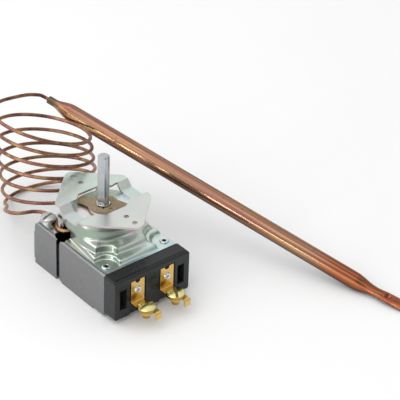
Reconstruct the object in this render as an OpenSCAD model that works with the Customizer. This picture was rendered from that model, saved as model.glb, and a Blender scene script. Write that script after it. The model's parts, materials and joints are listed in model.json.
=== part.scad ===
// Capillary thermostat with a sealed bulb, a turned control shaft and screw terminals.
// The origin is on the shaft's axis, in the plane of the bracket's two wings, +Z along the shaft.

/* [Body] */
// Width of the body, left to right
body_w = 49.4; // [47:0.2:60]
// Depth of the sheet metal shells, front to rear
shell_d = 61.5; // [58:0.5:80]
// Height of the shells from the floor to the top flange
shell_h = 26.4; // [24:0.2:40]
// Distance from the shaft to the rear face
shaft_to_rear = 28.2; // [26:0.2:34]
// Thickness of the shells' sheet
shell_t = 1.0; // [0.8:0.1:1.4]
// Width of the turned-in top flanges
flange_w = 7.5; // [6.5:0.5:9]
// Outer radius of the bends along the shells' top
bend_r = 2.0; // [1.6:0.1:3]
// Width of the seam between the front and the rear shell
seam_w = 2.8; // [2:0.2:4]
// Distance from the shaft to the front edge of the seam
seam_y = 6.0; // [5:0.5:7]

/* [Cover] */
// Thickness of the cover's sheet
cover_t = 0.8; // [0.6:0.1:1.2]
// Height from the cover's flange to the mounting plane of the bracket
mount_rise = 19.4; // [18.6:0.2:24]
// Radius of the recess round each front fastener
front_recess_r = 6.8; // [6:0.1:9]
// Radius of the recess round each rear fastener
rear_recess_r = 7.0; // [6:0.1:9]
// Distance of the front fasteners from the side faces
front_side = 5.5; // [5.2:0.1:7]
// Distance of the rear fasteners from the side faces
rear_side = 5.2; // [5:0.1:7]
// Distance of the front fasteners from the front edge of the shells
corner_front = 5.3; // [4.5:0.1:7]
// Distance of the rear fasteners from the rear face
corner_rear = 5.4; // [4.6:0.1:7]
// Half width of the dome's flat top
dome_x = 18.0; // [17:0.5:19]
// Half depth of the dome's flat top
dome_y = 15.0; // [14.5:0.5:16]
// Width of the opening for the capillary
inlet_w = 6.6; // [6:0.2:7]

/* [Switch base] */
// Depth of the front block
block_d = 9.3; // [8:0.1:12]
// Height of the front block
block_h = 24.0; // [22:0.5:26]
// Width of the rectangular slots in the front block
slot_w = 4.5; // [3.5:0.1:5]
// Height of the rectangular slots
slot_h = 12.2; // [9:0.2:14]
// Depth of the rectangular slots
slot_depth = 7.0; // [4:0.5:8]
// Distance of the slots' middle from the side faces
slot_side = 5.6; // [4.5:0.1:7]

/* [Terminals] */
// Distance of the terminals from the middle
term_x = 9.7; // [8.5:0.1:10.5]
// Width of the terminals
term_w = 8.8; // [8:0.2:10]
// Thickness of the terminals' brass
term_t = 1.0; // [0.8:0.1:1.2]
// Length of the tab that carries the screw, from the block's face
tab_l = 13.0; // [12:0.5:15]
// Diameter of the terminal screws' heads
term_head_d = 10.4; // [8:0.2:11]
// Diameter of the terminal screws' shanks
term_screw_d = 4.0; // [3:0.1:4.4]

/* [Bracket] */
// Thickness of the bracket's sheet
bracket_t = 1.2; // [1:0.1:1.5]
// Distance of the bracket's sides from the body's side faces
bracket_side = 1.9; // [0.5:0.1:4]
// Length of the bracket, tip to tip
bracket_l = 64.4; // [62:0.2:68]
// Drop from the wings to the two lower strips
bracket_drop = 3.6; // [3:0.1:4.4]
// Width of the opening between the strips
bracket_gap = 31.2; // [30:0.2:34]
// Spacing of the outer pair of tapped holes
outer_pitch = 54.0; // [50:0.5:56]
// Spacing of the inner pair of tapped holes
inner_pitch = 39.7; // [36:0.1:42]
// Core diameter of the tapped holes
tap_d = 2.8; // [2.4:0.1:3.2]

/* [Shaft] */
// Diameter of the shaft
shaft_d = 6.35; // [6:0.05:6.5]
// Height of the shaft above the mounting plane
shaft_rise = 27.6; // [18:0.2:40]
// Thickness of the shaft across its flat
shaft_across = 5.56; // [5.3:0.02:5.8]
// Direction that the flat faces, in degrees from +X
flat_angle = -160; // [-180:5:180]
// Diameter of the shaft's threaded end
thread_d = 5.2; // [4.6:0.1:5.4]
// Radial clearance of the shaft in its bushing and of the sliding fits
run_gap = 0.05; // [0.03:0.01:0.08]

/* [Capillary and bulb] */
// Diameter of the capillary
tube_d = 2.0; // [1.8:0.1:2.2]
// Radius of the formed turns
turn_r = 26.5; // [24:0.5:27]
// Number of formed turns
turns = 6; // [6:1:6]
// Rise from one turn to the next
turn_rise = 9.0; // [8.6:0.1:9.2]
// Diameter of the bulb
bulb_d = 9.525; // [8:0.05:9.6]
// Length of the bulb from its neck to the end of the full diameter
bulb_l = 202; // [180:1:206]
// Diameter of the bulb's swaged neck
neck_d = 4.5; // [3.6:0.1:5.5]
// Width of the bulb's flattened tail
tail_w = 7.8; // [6:0.1:9]
// Thickness of the bulb's flattened tail
tail_t = 2.6; // [2:0.1:3]

/* [Hidden] */
$fn = 48;
eps = 0.01;
// Levels and planes, from the mounting plane down
cover_top = -mount_rise;
shell_top = cover_top - cover_t;
floor_z = shell_top - shell_h;
shell_rear = shaft_to_rear;
shell_front = shaft_to_rear - shell_d;
block_front = shell_front - block_d;
body_x = body_w / 2;
front_pin_x = body_x - front_side;
rear_pin_x = body_x - rear_side;
slot_x = body_x - slot_side;
strip_top = -bracket_drop;
dome_top = strip_top - bracket_t;
// Named clearances
seat_gap = 0.1;
wall_gap = 0.15;
part_gap = 0.3;
// Front shell: raised front stretch of its lower edge, and the corner cut beside the seam
front_step = 1.3;
front_step_l = 9.8;
seam_chamfer = 2.2;
// Base plate
base_t = 0.8;
base_z = floor_z + shell_t;
base_top = base_z + base_t;
base_flange_h = 19.0;
base_flange_x = body_x - 0.1;
// Rear shell: where its lower rear edge clears the base plate
rear_edge_z = base_top + seat_gap;
seam_rear = seam_y + seam_w;
// Cover
cover_x = body_x - bend_r + 0.2;
cover_rear = shell_rear - 1.2;
platform_x = body_x - 5.15;
platform_slant = 9.2;
platform_front = shell_front + 1.6;
platform_rear = shell_rear - 3.0;
dome_foot_x = dome_x + 2.3;
dome_foot_y = dome_y + 5.0;
dome_steps = 72;
inlet_x = -body_x + 1 + inlet_w / 2;
inlet_rise = 4.4;
inlet_front = seam_y - 2.5;
inlet_rear = seam_rear + 3.4;
// Corner fasteners: front left, front right, rear right, and the clamp screw at the rear left
front_pin_y = shell_front + corner_front;
rear_pin_y = shell_rear - corner_rear;
corners = [[-front_pin_x, front_pin_y], [front_pin_x, front_pin_y],
           [rear_pin_x, rear_pin_y], [-rear_pin_x, rear_pin_y]];
// Recesses of the platform, one round each corner fastener
recesses = [for (c = corners) [c.x, c.y, c.y < 0 ? front_recess_r : rear_recess_r]];
eyelet_r = 1.6;
eyelet_wall = 0.45;
eyelet_head_r = 2.5;
eyelet_l = 5.0;
// Clamp screw and its spacer
clamp_head_r = 4.2;
clamp_head_h = 2.4;
clamp_shank_r = 1.75;
clamp_shank_l = 7.0;
spacer_r = 3.0;
spacer_h = tube_d + seat_gap;
// Switch base
block_top = cover_top - 0.3;
block_bottom = block_top - block_h;
block_r = 1.2;
groove_w = 0.5;
groove_from_face = 1.8;
channel_side = 0.5;
channel_depth = 0.8;
channel_top = block_top - 3.2;
slot_top = block_top - 6.4;
boss_z = block_top - 8.6;
tub_x = body_x - shell_t - wall_gap;
tub_wall = 2.2;
tub_rear = shell_rear - 6.2;
tub_floor = 3.6;
tub_z = base_top;
tub_top = shell_top - shell_t;
post_r = 3.4;
// Terminals
plate_top = block_top - 3.4;
tab_top = block_top - 16.7;
plate_face = block_front + channel_depth - term_t;
notch_r = 1.7;
notch_deep = 2.2;
rivet_z = block_top - 9.5;
rivet_r = 1.5;
rivet_bore_r = 0.8;
rivet_head_r = 2.2;
rivet_head_h = 0.7;
screw_y = block_front - 8.6;
term_head_h = 2.6;
screw_side = -0.8;
term_screw_l = 5.4;
collar_r = 3.2;
collar_h = 1.6;
tongue_w = 3.8;
tongue_x = 1.9;
tongue_l = 2.6;
tongue_h = 4.2;
// Bracket
bracket_x = body_x - bracket_side;
wing_side_y = 12.2;
wing_inner_y = 12.0;
wing_tip_r = 4.5;
strip_in = bracket_gap / 2;
jog_from = 8.6;
jog_to = 4.8;
tap_collar_r = tap_d / 2 + 0.9;
tap_collar_h = 1.0;
// Bushing and fibre plate
journal_r = shaft_d / 2 + 0.1;
bush_bore_r = journal_r + run_gap;
bush_r = journal_r + 1.9;
bush_flange_r = 8.0;
bush_flange_t = 0.8;
bush_bottom = dome_top - 4.6;
fibre_t = 1.3;
fibre_r = 8.4;
fibre_hole_r = journal_r + 0.65;
fibre_z = dome_top + bush_flange_t;
fibre_top = fibre_z + fibre_t;
fibre_waist = 9.6;
// Ears of the fibre plate: direction, reach, half width at the tip and at the waist
fibre_ears = [[124, 14.2, 1.9, 3.1], [-43.5, 12.8, 1.7, 3.3]];
// Holes beside the shaft in the fibre plate: direction, distance and radius
fibre_holes = [[-84, 5.7, 0.8], [-126, 4.2, 0.6]];
// Shaft
shaft_r = shaft_d / 2;
thread_r = thread_d / 2;
collar_gap = 0.2;
collar_top = bush_bottom - collar_gap;
collar_t = 1.4;
shaft_collar_r = bush_r - 0.5;
stop_r = 7.4;
stop_in_r = shaft_collar_r + part_gap;
stop_lug_a = 10;
stop_post_a = 32;
thread_end = collar_top - collar_t - 6.4;
clip_groove_r = shaft_r - 0.6;
clip_z = fibre_top + collar_gap;
clip_t = 0.7;
clip_r = shaft_r + 0.55;
clip_ear_a = 179;
clip_ear_r = 0.95;
clip_hole_r = 0.4;
shaft_chamfer = 0.5;
// Power element
hub_r = 4.5;
hub_top = collar_top - collar_t - 0.7;
capsule_r = 15.0;
capsule_t = 4.0;
capsule_top = dome_top - 10.8;
capsule_bottom = capsule_top - capsule_t;
socket_r = 2.7;
socket_bore_r = tube_d / 2 + 0.75;
socket_reach = capsule_r + 2.4;
socket_floor = capsule_r - 2.1;
socket_z = capsule_top - 2.0;
socket_a = 155;
button_r = 3.0;
button_tip = capsule_bottom - 1.4;
button_head = capsule_bottom + 1.1;
spring_wire = 0.9;
spring_r = hub_r + 1.3;
spring_turns = 3;
// Lever, plunger and contacts
lever_gap = 0.7;
lever_top = button_tip - lever_gap;
lever_t = 1.2;
lever_x = 5.0;
pivot_y = 14.0;
pivot_r = 1.2;
pivot_z = lever_top - 2.8;
pivot_lug_x = 6.2;
pivot_lug_w = 2.4;
plunger_y = -14.0;
plunger_r = 1.5;
plunger_top = lever_top - lever_t - part_gap;
plunger_l = 7.4;
plunger_end = plunger_top - plunger_l;
bridge_top = plunger_top - 1.6;
bridge_t = 2.8;
blade_t = 0.5;
blade_w = 6.0;
blade_top = plunger_end - part_gap;
blade_root = shell_front + 6.3;
blade_tip = -6.0;
contact_y = -8.4;
contact_r = 1.6;
contact_h = 1.0;
strip_t = 0.8;
strip_w = 5.0;

// Coil of the capillary: the middle of the first turn, its drift and its tilts
coil_x = 3.9;
coil_drift = 1.1;
coil_y = 61.5;
coil_lift = 0.3;
tilt_first = -0.26;
tilt_step = -0.012;
lean_first = -0.27;
lean_step = 0.07;
heading = -37.8;
turn_steps = 24;
last_turn = 5.96;
lead_steps = 5;

// Bulb's place: start of its neck, and where its full diameter ends on the floor
bulb_start = [29.0, 89.2, 7.4];
bulb_turn = -69.2;
bulb_dip = asin((bulb_start.z - floor_z - bulb_d / 2) / bulb_l);
neck_l = 5.5;
neck_taper = 9.5;
tail_taper = 9.0;
tail_pinch = 13.0;
tail_l = 32.0;
tail_side = 0.11;
tail_rise = 0.17;
neck_bore_l = 3.2;

// Route of the upper lead, from inside the bulb's neck to the coil
bulb_way = [cos(bulb_dip) * cos(bulb_turn), cos(bulb_dip) * sin(bulb_turn), -sin(bulb_dip)];
upper_lead = [bulb_start + 3 * bulb_way, bulb_start, bulb_start - 1.8 * bulb_way, [26.9, 91.7, 9.0],
              [24.2, 91.9, 10.7], [15.8, 91.1, 14.2], [3.8, 88.3, 18.0], [-7.1, 84.3, 21.5]];
// Route of the lower lead, from the coil to the clamp, the opening and the power element
clamp_y = rear_pin_y;
clamp_z = cover_top + tube_d / 2 + 0.05;
lead_x = -rear_pin_x + spacer_r + tube_d / 2 + wall_gap;
lower_lead = [[-12.0, 73.0, -39.8], [-18.9, 64.5, -34.0], [-24.4, 56.5, -28.0], [-29.2, 48.2, -22.0],
              [-30.6, 41.2, -18.8], [-27.4, 37.5, -18.35], [-20.8, 34.5, -18.35],
              [lead_x - 1.6, 30.4, clamp_z], [lead_x, clamp_y + 2.4, clamp_z], [lead_x, clamp_y - 1.2, clamp_z],
              [lead_x - 2.3, clamp_y - 4.6, clamp_z + 0.1], [lead_x - 4.1, clamp_y - 8.4, clamp_z + 0.2],
              [lead_x - 4.0, clamp_y - 12.0, clamp_z + 0.2],
              for (r = [1.6, -0.8, -3.1]) [(socket_reach + r) * cos(socket_a), (socket_reach + r) * sin(socket_a), socket_z]];

// A polygon's corner [x, y, radius] as an arc between its two neighbours
function corner_arc(a, b, c, steps = 5) =
    let (u = [a.x - b.x, a.y - b.y] / norm([a.x - b.x, a.y - b.y]),
         v = [c.x - b.x, c.y - b.y] / norm([c.x - b.x, c.y - b.y]),
         half = acos(u * v) / 2,
         reach = b[2] / tan(half),
         p = [b.x, b.y] + u * reach,
         mid = [b.x, b.y] + (u + v) / norm(u + v) * b[2] / sin(half),
         turn = (u.x * v.y - u.y * v.x) > 0 ? -1 : 1,
         from = atan2(p.y - mid.y, p.x - mid.x))
    b[2] == 0 ? [[b.x, b.y]]
    : [for (i = [0 : steps]) mid + b[2] * [cos(from + turn * (180 - 2 * half) * i / steps),
                                           sin(from + turn * (180 - 2 * half) * i / steps)]];

// All corners of an outline given as [x, y, radius]
function rounded(pts) = [for (i = [0 : len(pts) - 1])
    each corner_arc(pts[(i + len(pts) - 1) % len(pts)], pts[i], pts[(i + 1) % len(pts)])];

// A rectangle between two corners with rounded corners
module rounded_rect(low, high, r) {
    polygon(rounded([[low.x, low.y, r], [high.x, low.y, r], [high.x, high.y, r], [low.x, high.y, r]]));
}

// A box between two corners
module box(low, high) {
    translate(low) cube(high - low);
}

// Extrudes an XZ outline along Y between two planes
module along_y(from, to) {
    translate([0, to, 0]) rotate([90, 0, 0]) linear_extrude(to - from) children();
}

// Extrudes a YZ outline along X between two planes
module along_x(from, to) {
    translate([from, 0, 0]) rotate([90, 0, 90]) linear_extrude(to - from) children();
}

// A cylinder along Z between two heights
module disc(r, low, high) {
    translate([0, 0, low]) cylinder(r = r, h = high - low);
}

// Section of the shells: square below, with rounded bends at the top
module shell_section(inset) {
    r = bend_r - inset;
    polygon(rounded([[-body_x + inset, floor_z + inset, 0], [body_x - inset, floor_z + inset, 0],
                     [body_x - inset, shell_top - inset, r], [-body_x + inset, shell_top - inset, r]]));
}

// The opening for the capillary, cut through whatever lies on its place
module inlet_cut() {
    translate([0, 0, shell_top - 3]) linear_extrude(inlet_rise + cover_t + 3)
        rounded_rect([inlet_x - inlet_w / 2, inlet_front], [inlet_x + inlet_w / 2, inlet_rear], inlet_w * 0.35);
}

// Holes for the corner fasteners through the cover and the flanges
module corner_holes(r) {
    for (c = corners)
        translate([c.x, c.y, tub_top - eps]) cylinder(r = r, h = cover_top - tub_top + 2 * eps);
}

module front_shell() {
    color([0.62, 0.68, 0.68]) difference() {
        along_y(shell_front, seam_y) shell_section(0);
        along_y(shell_front - 1, seam_y + 1) shell_section(shell_t);
        box([-body_x + flange_w, shell_front - 1, shell_top - 3], [body_x - flange_w, seam_y + 1, shell_top + 1]);
        box([-body_x - 1, shell_front - 1, floor_z - 1],
            [body_x + 1, shell_front + front_step_l, floor_z + front_step]);
        along_x(-body_x - 1, body_x + 1)
            polygon([[seam_y - seam_chamfer, floor_z - eps], [seam_y + eps, floor_z + seam_chamfer],
                     [seam_y + 1, floor_z - 1]]);
        inlet_cut();
        corner_holes(eyelet_r + run_gap);
    }
}

// Solid outline of the rear shell, drawn in by the thickness for its hollow
module rear_block(inset) {
    r = bend_r - inset;
    intersection() {
        along_y(seam_rear - inset, shell_rear - inset) shell_section(inset);
        along_x(-body_x, body_x)
            polygon(rounded([[seam_rear - 1 - inset, floor_z - 1, 0], [shell_rear - inset, floor_z - 1, 0],
                             [shell_rear - inset, shell_top - inset, r],
                             [seam_rear - 1 - inset, shell_top - inset, 0]]));
    }
}

module rear_shell() {
    color([0.62, 0.68, 0.68]) difference() {
        rear_block(0);
        rear_block(shell_t);
        box([-body_x + flange_w, seam_rear - 1, shell_top - 3],
            [body_x - flange_w, shell_rear - flange_w, shell_top + 1]);
        box([-body_x + shell_t, seam_rear - 1, floor_z - 1],
            [body_x - shell_t, shell_rear + 1, rear_edge_z]);
        inlet_cut();
        corner_holes(eyelet_r + run_gap);
    }
}

module base_plate() {
    x = body_x - shell_t - wall_gap;
    color([0.45, 0.47, 0.47]) {
        box([-x, shell_front + front_step_l + 0.5, base_z], [x, shell_rear + base_t + eps, base_top]);
        box([-x, shell_rear, base_z], [x, shell_rear + base_t, base_z + 3]);
        box([-base_flange_x, shell_rear, base_z + 2], [base_flange_x, shell_rear + base_t, base_z + base_flange_h]);
    }
}

// Distance from the middle to the platform's star-like outline in the direction a
function star(a) =
    let (d = [cos(a), sin(a)],
         side = platform_x / max(abs(d.x) * cos(platform_slant) + d.y * sin(platform_slant), 0.001),
         end = (d.y < 0 ? -platform_front : platform_rear) / max(abs(d.y), 0.001),
         recess = [for (c = recesses)
             let (along = d.x * c.x + d.y * c.y, q = along * along - c.x * c.x - c.y * c.y + c[2] * c[2])
             along > 0 && q > 0 ? along - sqrt(q) : 1000])
    min(side, end, min(recess));

// Distance from the middle to an ellipse with half axes x and y
function oval(a, x, y) = 1 / sqrt(pow(cos(a) / x, 2) + pow(sin(a) / y, 2));

// Radius and height of the cover's rings in the direction a, from the flange to the top
function cover_rings(a, in) =
    let (s = star(a) - in,
         foot = min(oval(a, dome_foot_x, dome_foot_y) - in, s - 0.4),
         g = s - foot,
         low = cover_top - in)
    [[s, shell_top], [s, low + in * 0.6], [s - min(0.4, g * 0.15), low + 1.2], [s - min(1.1, g * 0.3), low + 2.1],
     [foot + g * 0.60, low + 2.4], [foot + g * 0.54, low + 2.9], [foot + g * 0.45, low + 4.9],
     [foot + g * 0.36, low + 5.7], [foot + g * 0.10, low + 6.5], [foot - 0.2, low + 7.4],
     [min(oval(a, dome_x + 2.0, dome_y + 4.0) - in, s - 0.9), low + 9.4],
     [min(oval(a, dome_x + 1.8, dome_y + 3.0) - in, s - 1.5), dome_top - in - 2.2],
     [min(oval(a, dome_x + 1.3, dome_y + 1.6) - in, s - 2.0), dome_top - in - 1.0],
     [min(oval(a, dome_x + 0.7, dome_y + 0.9) - in, s - 2.6), dome_top - in - 0.3],
     [min(oval(a, dome_x, dome_y) - in, s - 3.3), dome_top - in]];

// The drawn platform and dome, as a shell between an outer and an inner skin
module dome_shell() {
    n = dome_steps;
    outer = [for (i = [0 : n - 1]) cover_rings(i * 360 / n, 0)];
    inner = [for (i = [0 : n - 1]) cover_rings(i * 360 / n, cover_t)];
    m = len(outer[0]);
    function ring_point(q, a) = [q[0] * cos(a), q[0] * sin(a), q[1]];
    points = concat([for (k = [0 : m - 1], i = [0 : n - 1]) ring_point(outer[i][k], i * 360 / n)],
                    [for (k = [0 : m - 1], i = [0 : n - 1]) ring_point(inner[i][k], i * 360 / n)]);
    function at(skin, k, i) = skin * m * n + k * n + i % n;
    polyhedron(points, concat(
        [for (k = [0 : m - 2], i = [0 : n - 1], f = [0, 1])
            f == 0 ? [at(0, k, i), at(0, k + 1, i + 1), at(0, k, i + 1)]
                   : [at(0, k, i), at(0, k + 1, i), at(0, k + 1, i + 1)]],
        [for (k = [0 : m - 2], i = [0 : n - 1], f = [0, 1])
            f == 0 ? [at(1, k, i), at(1, k, i + 1), at(1, k + 1, i + 1)]
                   : [at(1, k, i), at(1, k + 1, i + 1), at(1, k + 1, i)]],
        [for (i = [0 : n - 1], f = [0, 1])
            f == 0 ? [at(0, 0, i), at(0, 0, i + 1), at(1, 0, i + 1)]
                   : [at(0, 0, i), at(1, 0, i + 1), at(1, 0, i)]],
        [[for (i = [0 : n - 1]) at(0, m - 1, n - 1 - i)]],
        [[for (i = [0 : n - 1]) at(1, m - 1, i)]]));
}

module cover() {
    hole = [for (i = [0 : dome_steps - 1])
        let (a = i * 360 / dome_steps) (star(a) - cover_t / 2) * [cos(a), sin(a)]];
    color([0.76, 0.83, 0.80]) difference() {
        union() {
            translate([0, 0, shell_top]) linear_extrude(cover_t) difference() {
                rounded_rect([-cover_x, shell_front], [cover_x, cover_rear], 1.5);
                polygon(hole);
            }
            dome_shell();
        }
        disc(bush_r + run_gap, dome_top - 3, dome_top + 1);
        inlet_cut();
        corner_holes(eyelet_r + run_gap);
    }
}

// Corner post of the switch base under one front fastener
module base_post(c) {
    translate([c.x, c.y, tub_z]) cylinder(r = post_r, h = tub_top - tub_z);
}

module front_block() {
    difference() {
        along_y(block_front, shell_front) rounded_rect([-body_x, block_bottom], [body_x, block_top], block_r);
        // groove along the front edge of the top
        box([-body_x - 1, block_front + groove_from_face, block_top - 0.3],
            [body_x + 1, block_front + groove_from_face + groove_w, block_top + 1]);
        // softened front edge of the top
        along_x(-body_x - 1, body_x + 1)
            polygon([[block_front - eps, block_top - block_r], [block_front - eps, block_top + 1],
                     [block_front + block_r, block_top + 1], [block_front + block_r, block_top + eps]]);
        for (side = [-1, 1]) {
            translate([side * slot_x - slot_w / 2, block_front - 1, slot_top - slot_h])
                cube([slot_w, slot_depth + 1, slot_h]);
            box([side * term_x - term_w / 2 - channel_side, block_front - 1, block_bottom - 1],
                [side * term_x + term_w / 2 + 2 * channel_side, block_front + channel_depth, channel_top]);
            translate([side * term_x, block_front - 1, rivet_z]) rotate([-90, 0, 0])
                cylinder(r = rivet_r + run_gap, h = block_d + 4);
        }
        // relief in the face below each tab
        for (side = [-1, 1])
            box([side * term_x - term_w / 2 - channel_side, block_front - 1, block_bottom - 1],
                [side * term_x + term_w / 2 + 2 * channel_side, block_front + 3.4, tab_top - 4.2]);
    }
    // rounded boss in the middle of the face
    translate([1.0, block_front + 4.2, boss_z]) intersection() {
        sphere(r = 5.0);
        box([-5, -5, -5], [5, -4.2, 5]);
    }
    translate([1.0, block_front - 0.8, boss_z]) rotate([-90, 0, 0]) cylinder(r = 2.2, h = 1);
}

module switch_base() {
    color([0.10, 0.10, 0.11]) {
        front_block();
        difference() {
            union() {
                box([-tub_x, shell_front - eps, tub_z], [tub_x, tub_rear, tub_z + tub_floor]);
                for (side = [-1, 1])
                    box([side < 0 ? -tub_x : tub_x - tub_wall, shell_front - eps, tub_z],
                        [side < 0 ? -tub_x + tub_wall : tub_x, tub_rear, bridge_top]);
                box([-tub_x, tub_rear - tub_wall, tub_z], [tub_x, tub_rear, bridge_top]);
                box([-tub_x, shell_front - eps, tub_z], [tub_x, shell_front + tub_wall, tub_top - 2]);
                for (i = [0, 1]) base_post(corners[i]);
                // bridge that guides the plunger
                box([-tub_x, plunger_y - 4, bridge_top - bridge_t], [tub_x, plunger_y + 4, bridge_top]);
                // lugs that hold the lever's pin
                for (side = [-1, 1])
                    box([side < 0 ? -pivot_lug_x - pivot_lug_w : pivot_lug_x, pivot_y - 3, tub_z],
                        [side < 0 ? -pivot_lug_x : pivot_lug_x + pivot_lug_w, pivot_y + 3, pivot_z + 2.4]);
            }
            for (i = [0, 1])
                translate([corners[i].x, corners[i].y, tub_top - eyelet_l]) cylinder(r = eyelet_r + run_gap, h = 20);
            translate([0, plunger_y, bridge_top - bridge_t - 1]) cylinder(r = plunger_r + run_gap, h = bridge_t + 2);
            translate([-pivot_lug_x - pivot_lug_w - 1, pivot_y, pivot_z]) rotate([0, 90, 0])
                cylinder(r = pivot_r, h = 2 * (pivot_lug_x + pivot_lug_w + 1));
            // ways for the rivets and the contact strips
            for (side = [-1, 1])
                box([side * term_x - strip_w / 2 - wall_gap, shell_front - 4, rivet_z - 4],
                    [side * term_x + strip_w / 2 + wall_gap, shell_front + tub_wall + 1, rivet_z + 4]);
        }
    }
}

// Brass terminal at x = 0: notched plate, bend, screw tab and curled tongue
module terminal() {
    tab_end = block_front - tab_l;
    mid = plate_face + term_t;
    difference() {
        union() {
            along_x(-term_w / 2, term_w / 2)
                polygon(rounded([[mid, plate_top, 0], [plate_face, plate_top, 0],
                                 [plate_face, tab_top, 0.6], [tab_end + 1.6, tab_top, 0],
                                 [tab_end + 1.6, tab_top - term_t, 0], [mid, tab_top - term_t, 1.4]]));
            translate([screw_side, screw_y, tab_top - term_t - collar_h]) cylinder(r = collar_r, h = collar_h + eps);
            translate([tongue_x, 0, 0]) along_x(-tongue_w / 2, tongue_w / 2)
                polygon(rounded([[tab_end + 2, tab_top, 0], [tab_end - tongue_l, tab_top, 1.3],
                                 [tab_end - tongue_l, tab_top - tongue_h, 0],
                                 [tab_end - tongue_l + term_t, tab_top - tongue_h, 0],
                                 [tab_end - tongue_l + term_t, tab_top - term_t, 0.4],
                                 [tab_end + 2, tab_top - term_t, 0]]));
        }
        translate([0, plate_face - 1, plate_top]) rotate([-90, 0, 0]) {
            cylinder(r = notch_r, h = term_t + 2);
        }
        translate([screw_side, screw_y, tab_top - 5]) cylinder(r = term_screw_d / 2, h = 8);
        translate([0, plate_face - 1, rivet_z]) rotate([-90, 0, 0]) cylinder(r = rivet_r + run_gap, h = term_t + 2);
        // rounded outer corners of the tab
        for (side = [-1, 1])
            translate([side * term_w / 2, tab_end + 1.6, tab_top - term_t / 2]) rotate([0, 0, 45])
                cube([1.8, 1.8, term_t + 1], center = true);
    }
}

module terminal_left() {
    color([0.80, 0.63, 0.27]) translate([-term_x, 0, 0]) terminal();
}

module terminal_right() {
    color([0.80, 0.63, 0.27]) translate([term_x, 0, 0]) terminal();
}

// Slotted screw with a low domed head, standing on z = 0
module slotted_screw(head_r, head_h, shank_r, shank_l, slot_angle) {
    crown = head_r * 3.2;
    difference() {
        union() {
            intersection() {
                cylinder(r = head_r, h = head_h);
                translate([0, 0, head_h - crown]) sphere(r = crown);
            }
            translate([0, 0, -shank_l]) cylinder(r = shank_r, h = shank_l + eps);
        }
        rotate([0, 0, slot_angle]) translate([-head_r - 1, -0.55, head_h - 1.1]) cube([2 * head_r + 2, 1.1, 2]);
    }
}

module terminal_screws() {
    color([0.84, 0.69, 0.33]) for (side = [-1, 1])
        translate([side * term_x + screw_side, screw_y, tab_top])
            slotted_screw(term_head_d / 2, term_head_h, term_screw_d / 2, term_screw_l, side < 0 ? 6 : 62);
}

module terminal_rivets() {
    color([0.78, 0.80, 0.82]) for (side = [-1, 1])
        translate([side * term_x, plate_face, rivet_z]) rotate([-90, 0, 0]) difference() {
            union() {
                cylinder(r = rivet_r, h = shell_front + tub_wall - plate_face);
                translate([0, 0, -rivet_head_h]) cylinder(r1 = rivet_head_r - 0.5, r2 = rivet_head_r, h = rivet_head_h);
            }
            translate([0, 0, -rivet_head_h - 1]) cylinder(r = rivet_bore_r, h = 5);
        }
}

// Tubular rivet with a rolled head, hanging from z = 0
module eyelet() {
    rotate_extrude() difference() {
        union() {
            translate([0, -eyelet_l]) square([eyelet_r, eyelet_l]);
            polygon([[0, 0], [eyelet_head_r, 0], [eyelet_head_r, 0.35], [eyelet_head_r - 0.4, 0.75],
                     [eyelet_head_r - 1.0, 0.75], [0, 0.3]]);
        }
        translate([-eps, -eyelet_l - 1]) square([eyelet_r - eyelet_wall + eps, eyelet_l + 3]);
    }
}

module cover_eyelets() {
    color([0.80, 0.83, 0.84]) for (i = [0 : 2]) translate([corners[i].x, corners[i].y, cover_top]) eyelet();
}

module clamp_screw() {
    color([0.80, 0.80, 0.78]) translate([corners[3].x, corners[3].y, cover_top + spacer_h])
        slotted_screw(clamp_head_r, clamp_head_h, clamp_shank_r - 0.15, clamp_shank_l, 12);
}

module clamp_spacer() {
    color([0.72, 0.76, 0.78]) translate([corners[3].x, corners[3].y, cover_top]) difference() {
        cylinder(r = spacer_r, h = spacer_h);
        translate([0, 0, -1]) cylinder(r = clamp_shank_r, h = spacer_h + 2);
    }
}

// Outline of one raised wing; the other is its mirror image
module wing_outline() {
    tip = bracket_l / 2;
    polygon(rounded([[-bracket_x, jog_from, 0], [-bracket_x, wing_side_y, 1.5], [0, tip + 1.2, wing_tip_r],
                     [bracket_x, wing_side_y, 4], [bracket_x, jog_from, 0], [strip_in, jog_from, 0],
                     [strip_in - 4.2, jog_from - 0.6, 1], [strip_in - 9.6, wing_inner_y, 2],
                     [-strip_in + 8.0, wing_inner_y, 2], [-strip_in + 4.4, jog_from, 1], [-strip_in, jog_from, 0]]));
}

// Bend from a wing down to the strip between two planes
module jog(from, to) {
    along_x(from, to)
        polygon(rounded([[jog_from + 0.5, 0, 0], [jog_from - 0.4, 0, 1.2], [jog_to + 0.2, strip_top, 0.6],
                         [jog_to - 1, strip_top, 0], [jog_to - 1, strip_top - bracket_t, 0],
                         [jog_to + 0.9, strip_top - bracket_t, 1.2], [jog_from + 0.3, -bracket_t, 0.6],
                         [jog_from + 0.5, -bracket_t, 0]]));
}

module bracket_half() {
    difference() {
        union() {
            translate([0, 0, -bracket_t]) linear_extrude(bracket_t) wing_outline();
            for (p = [outer_pitch / 2, inner_pitch / 2])
                translate([0, p, -bracket_t - tap_collar_h]) cylinder(r = tap_collar_r, h = tap_collar_h + eps);
            jog(-bracket_x, -strip_in);
            jog(strip_in, bracket_x);
            for (side = [-1, 1])
                box([side < 0 ? -bracket_x : strip_in, -eps, dome_top],
                    [side < 0 ? -strip_in : bracket_x, jog_to, strip_top]);
        }
        for (p = [outer_pitch / 2, inner_pitch / 2])
            translate([0, p, -bracket_t - tap_collar_h - 1]) cylinder(r = tap_d / 2, h = bracket_t + tap_collar_h + 2);
    }
}

module bracket() {
    color([0.74, 0.80, 0.78]) {
        bracket_half();
        mirror([0, 1, 0]) bracket_half();
    }
}

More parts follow.
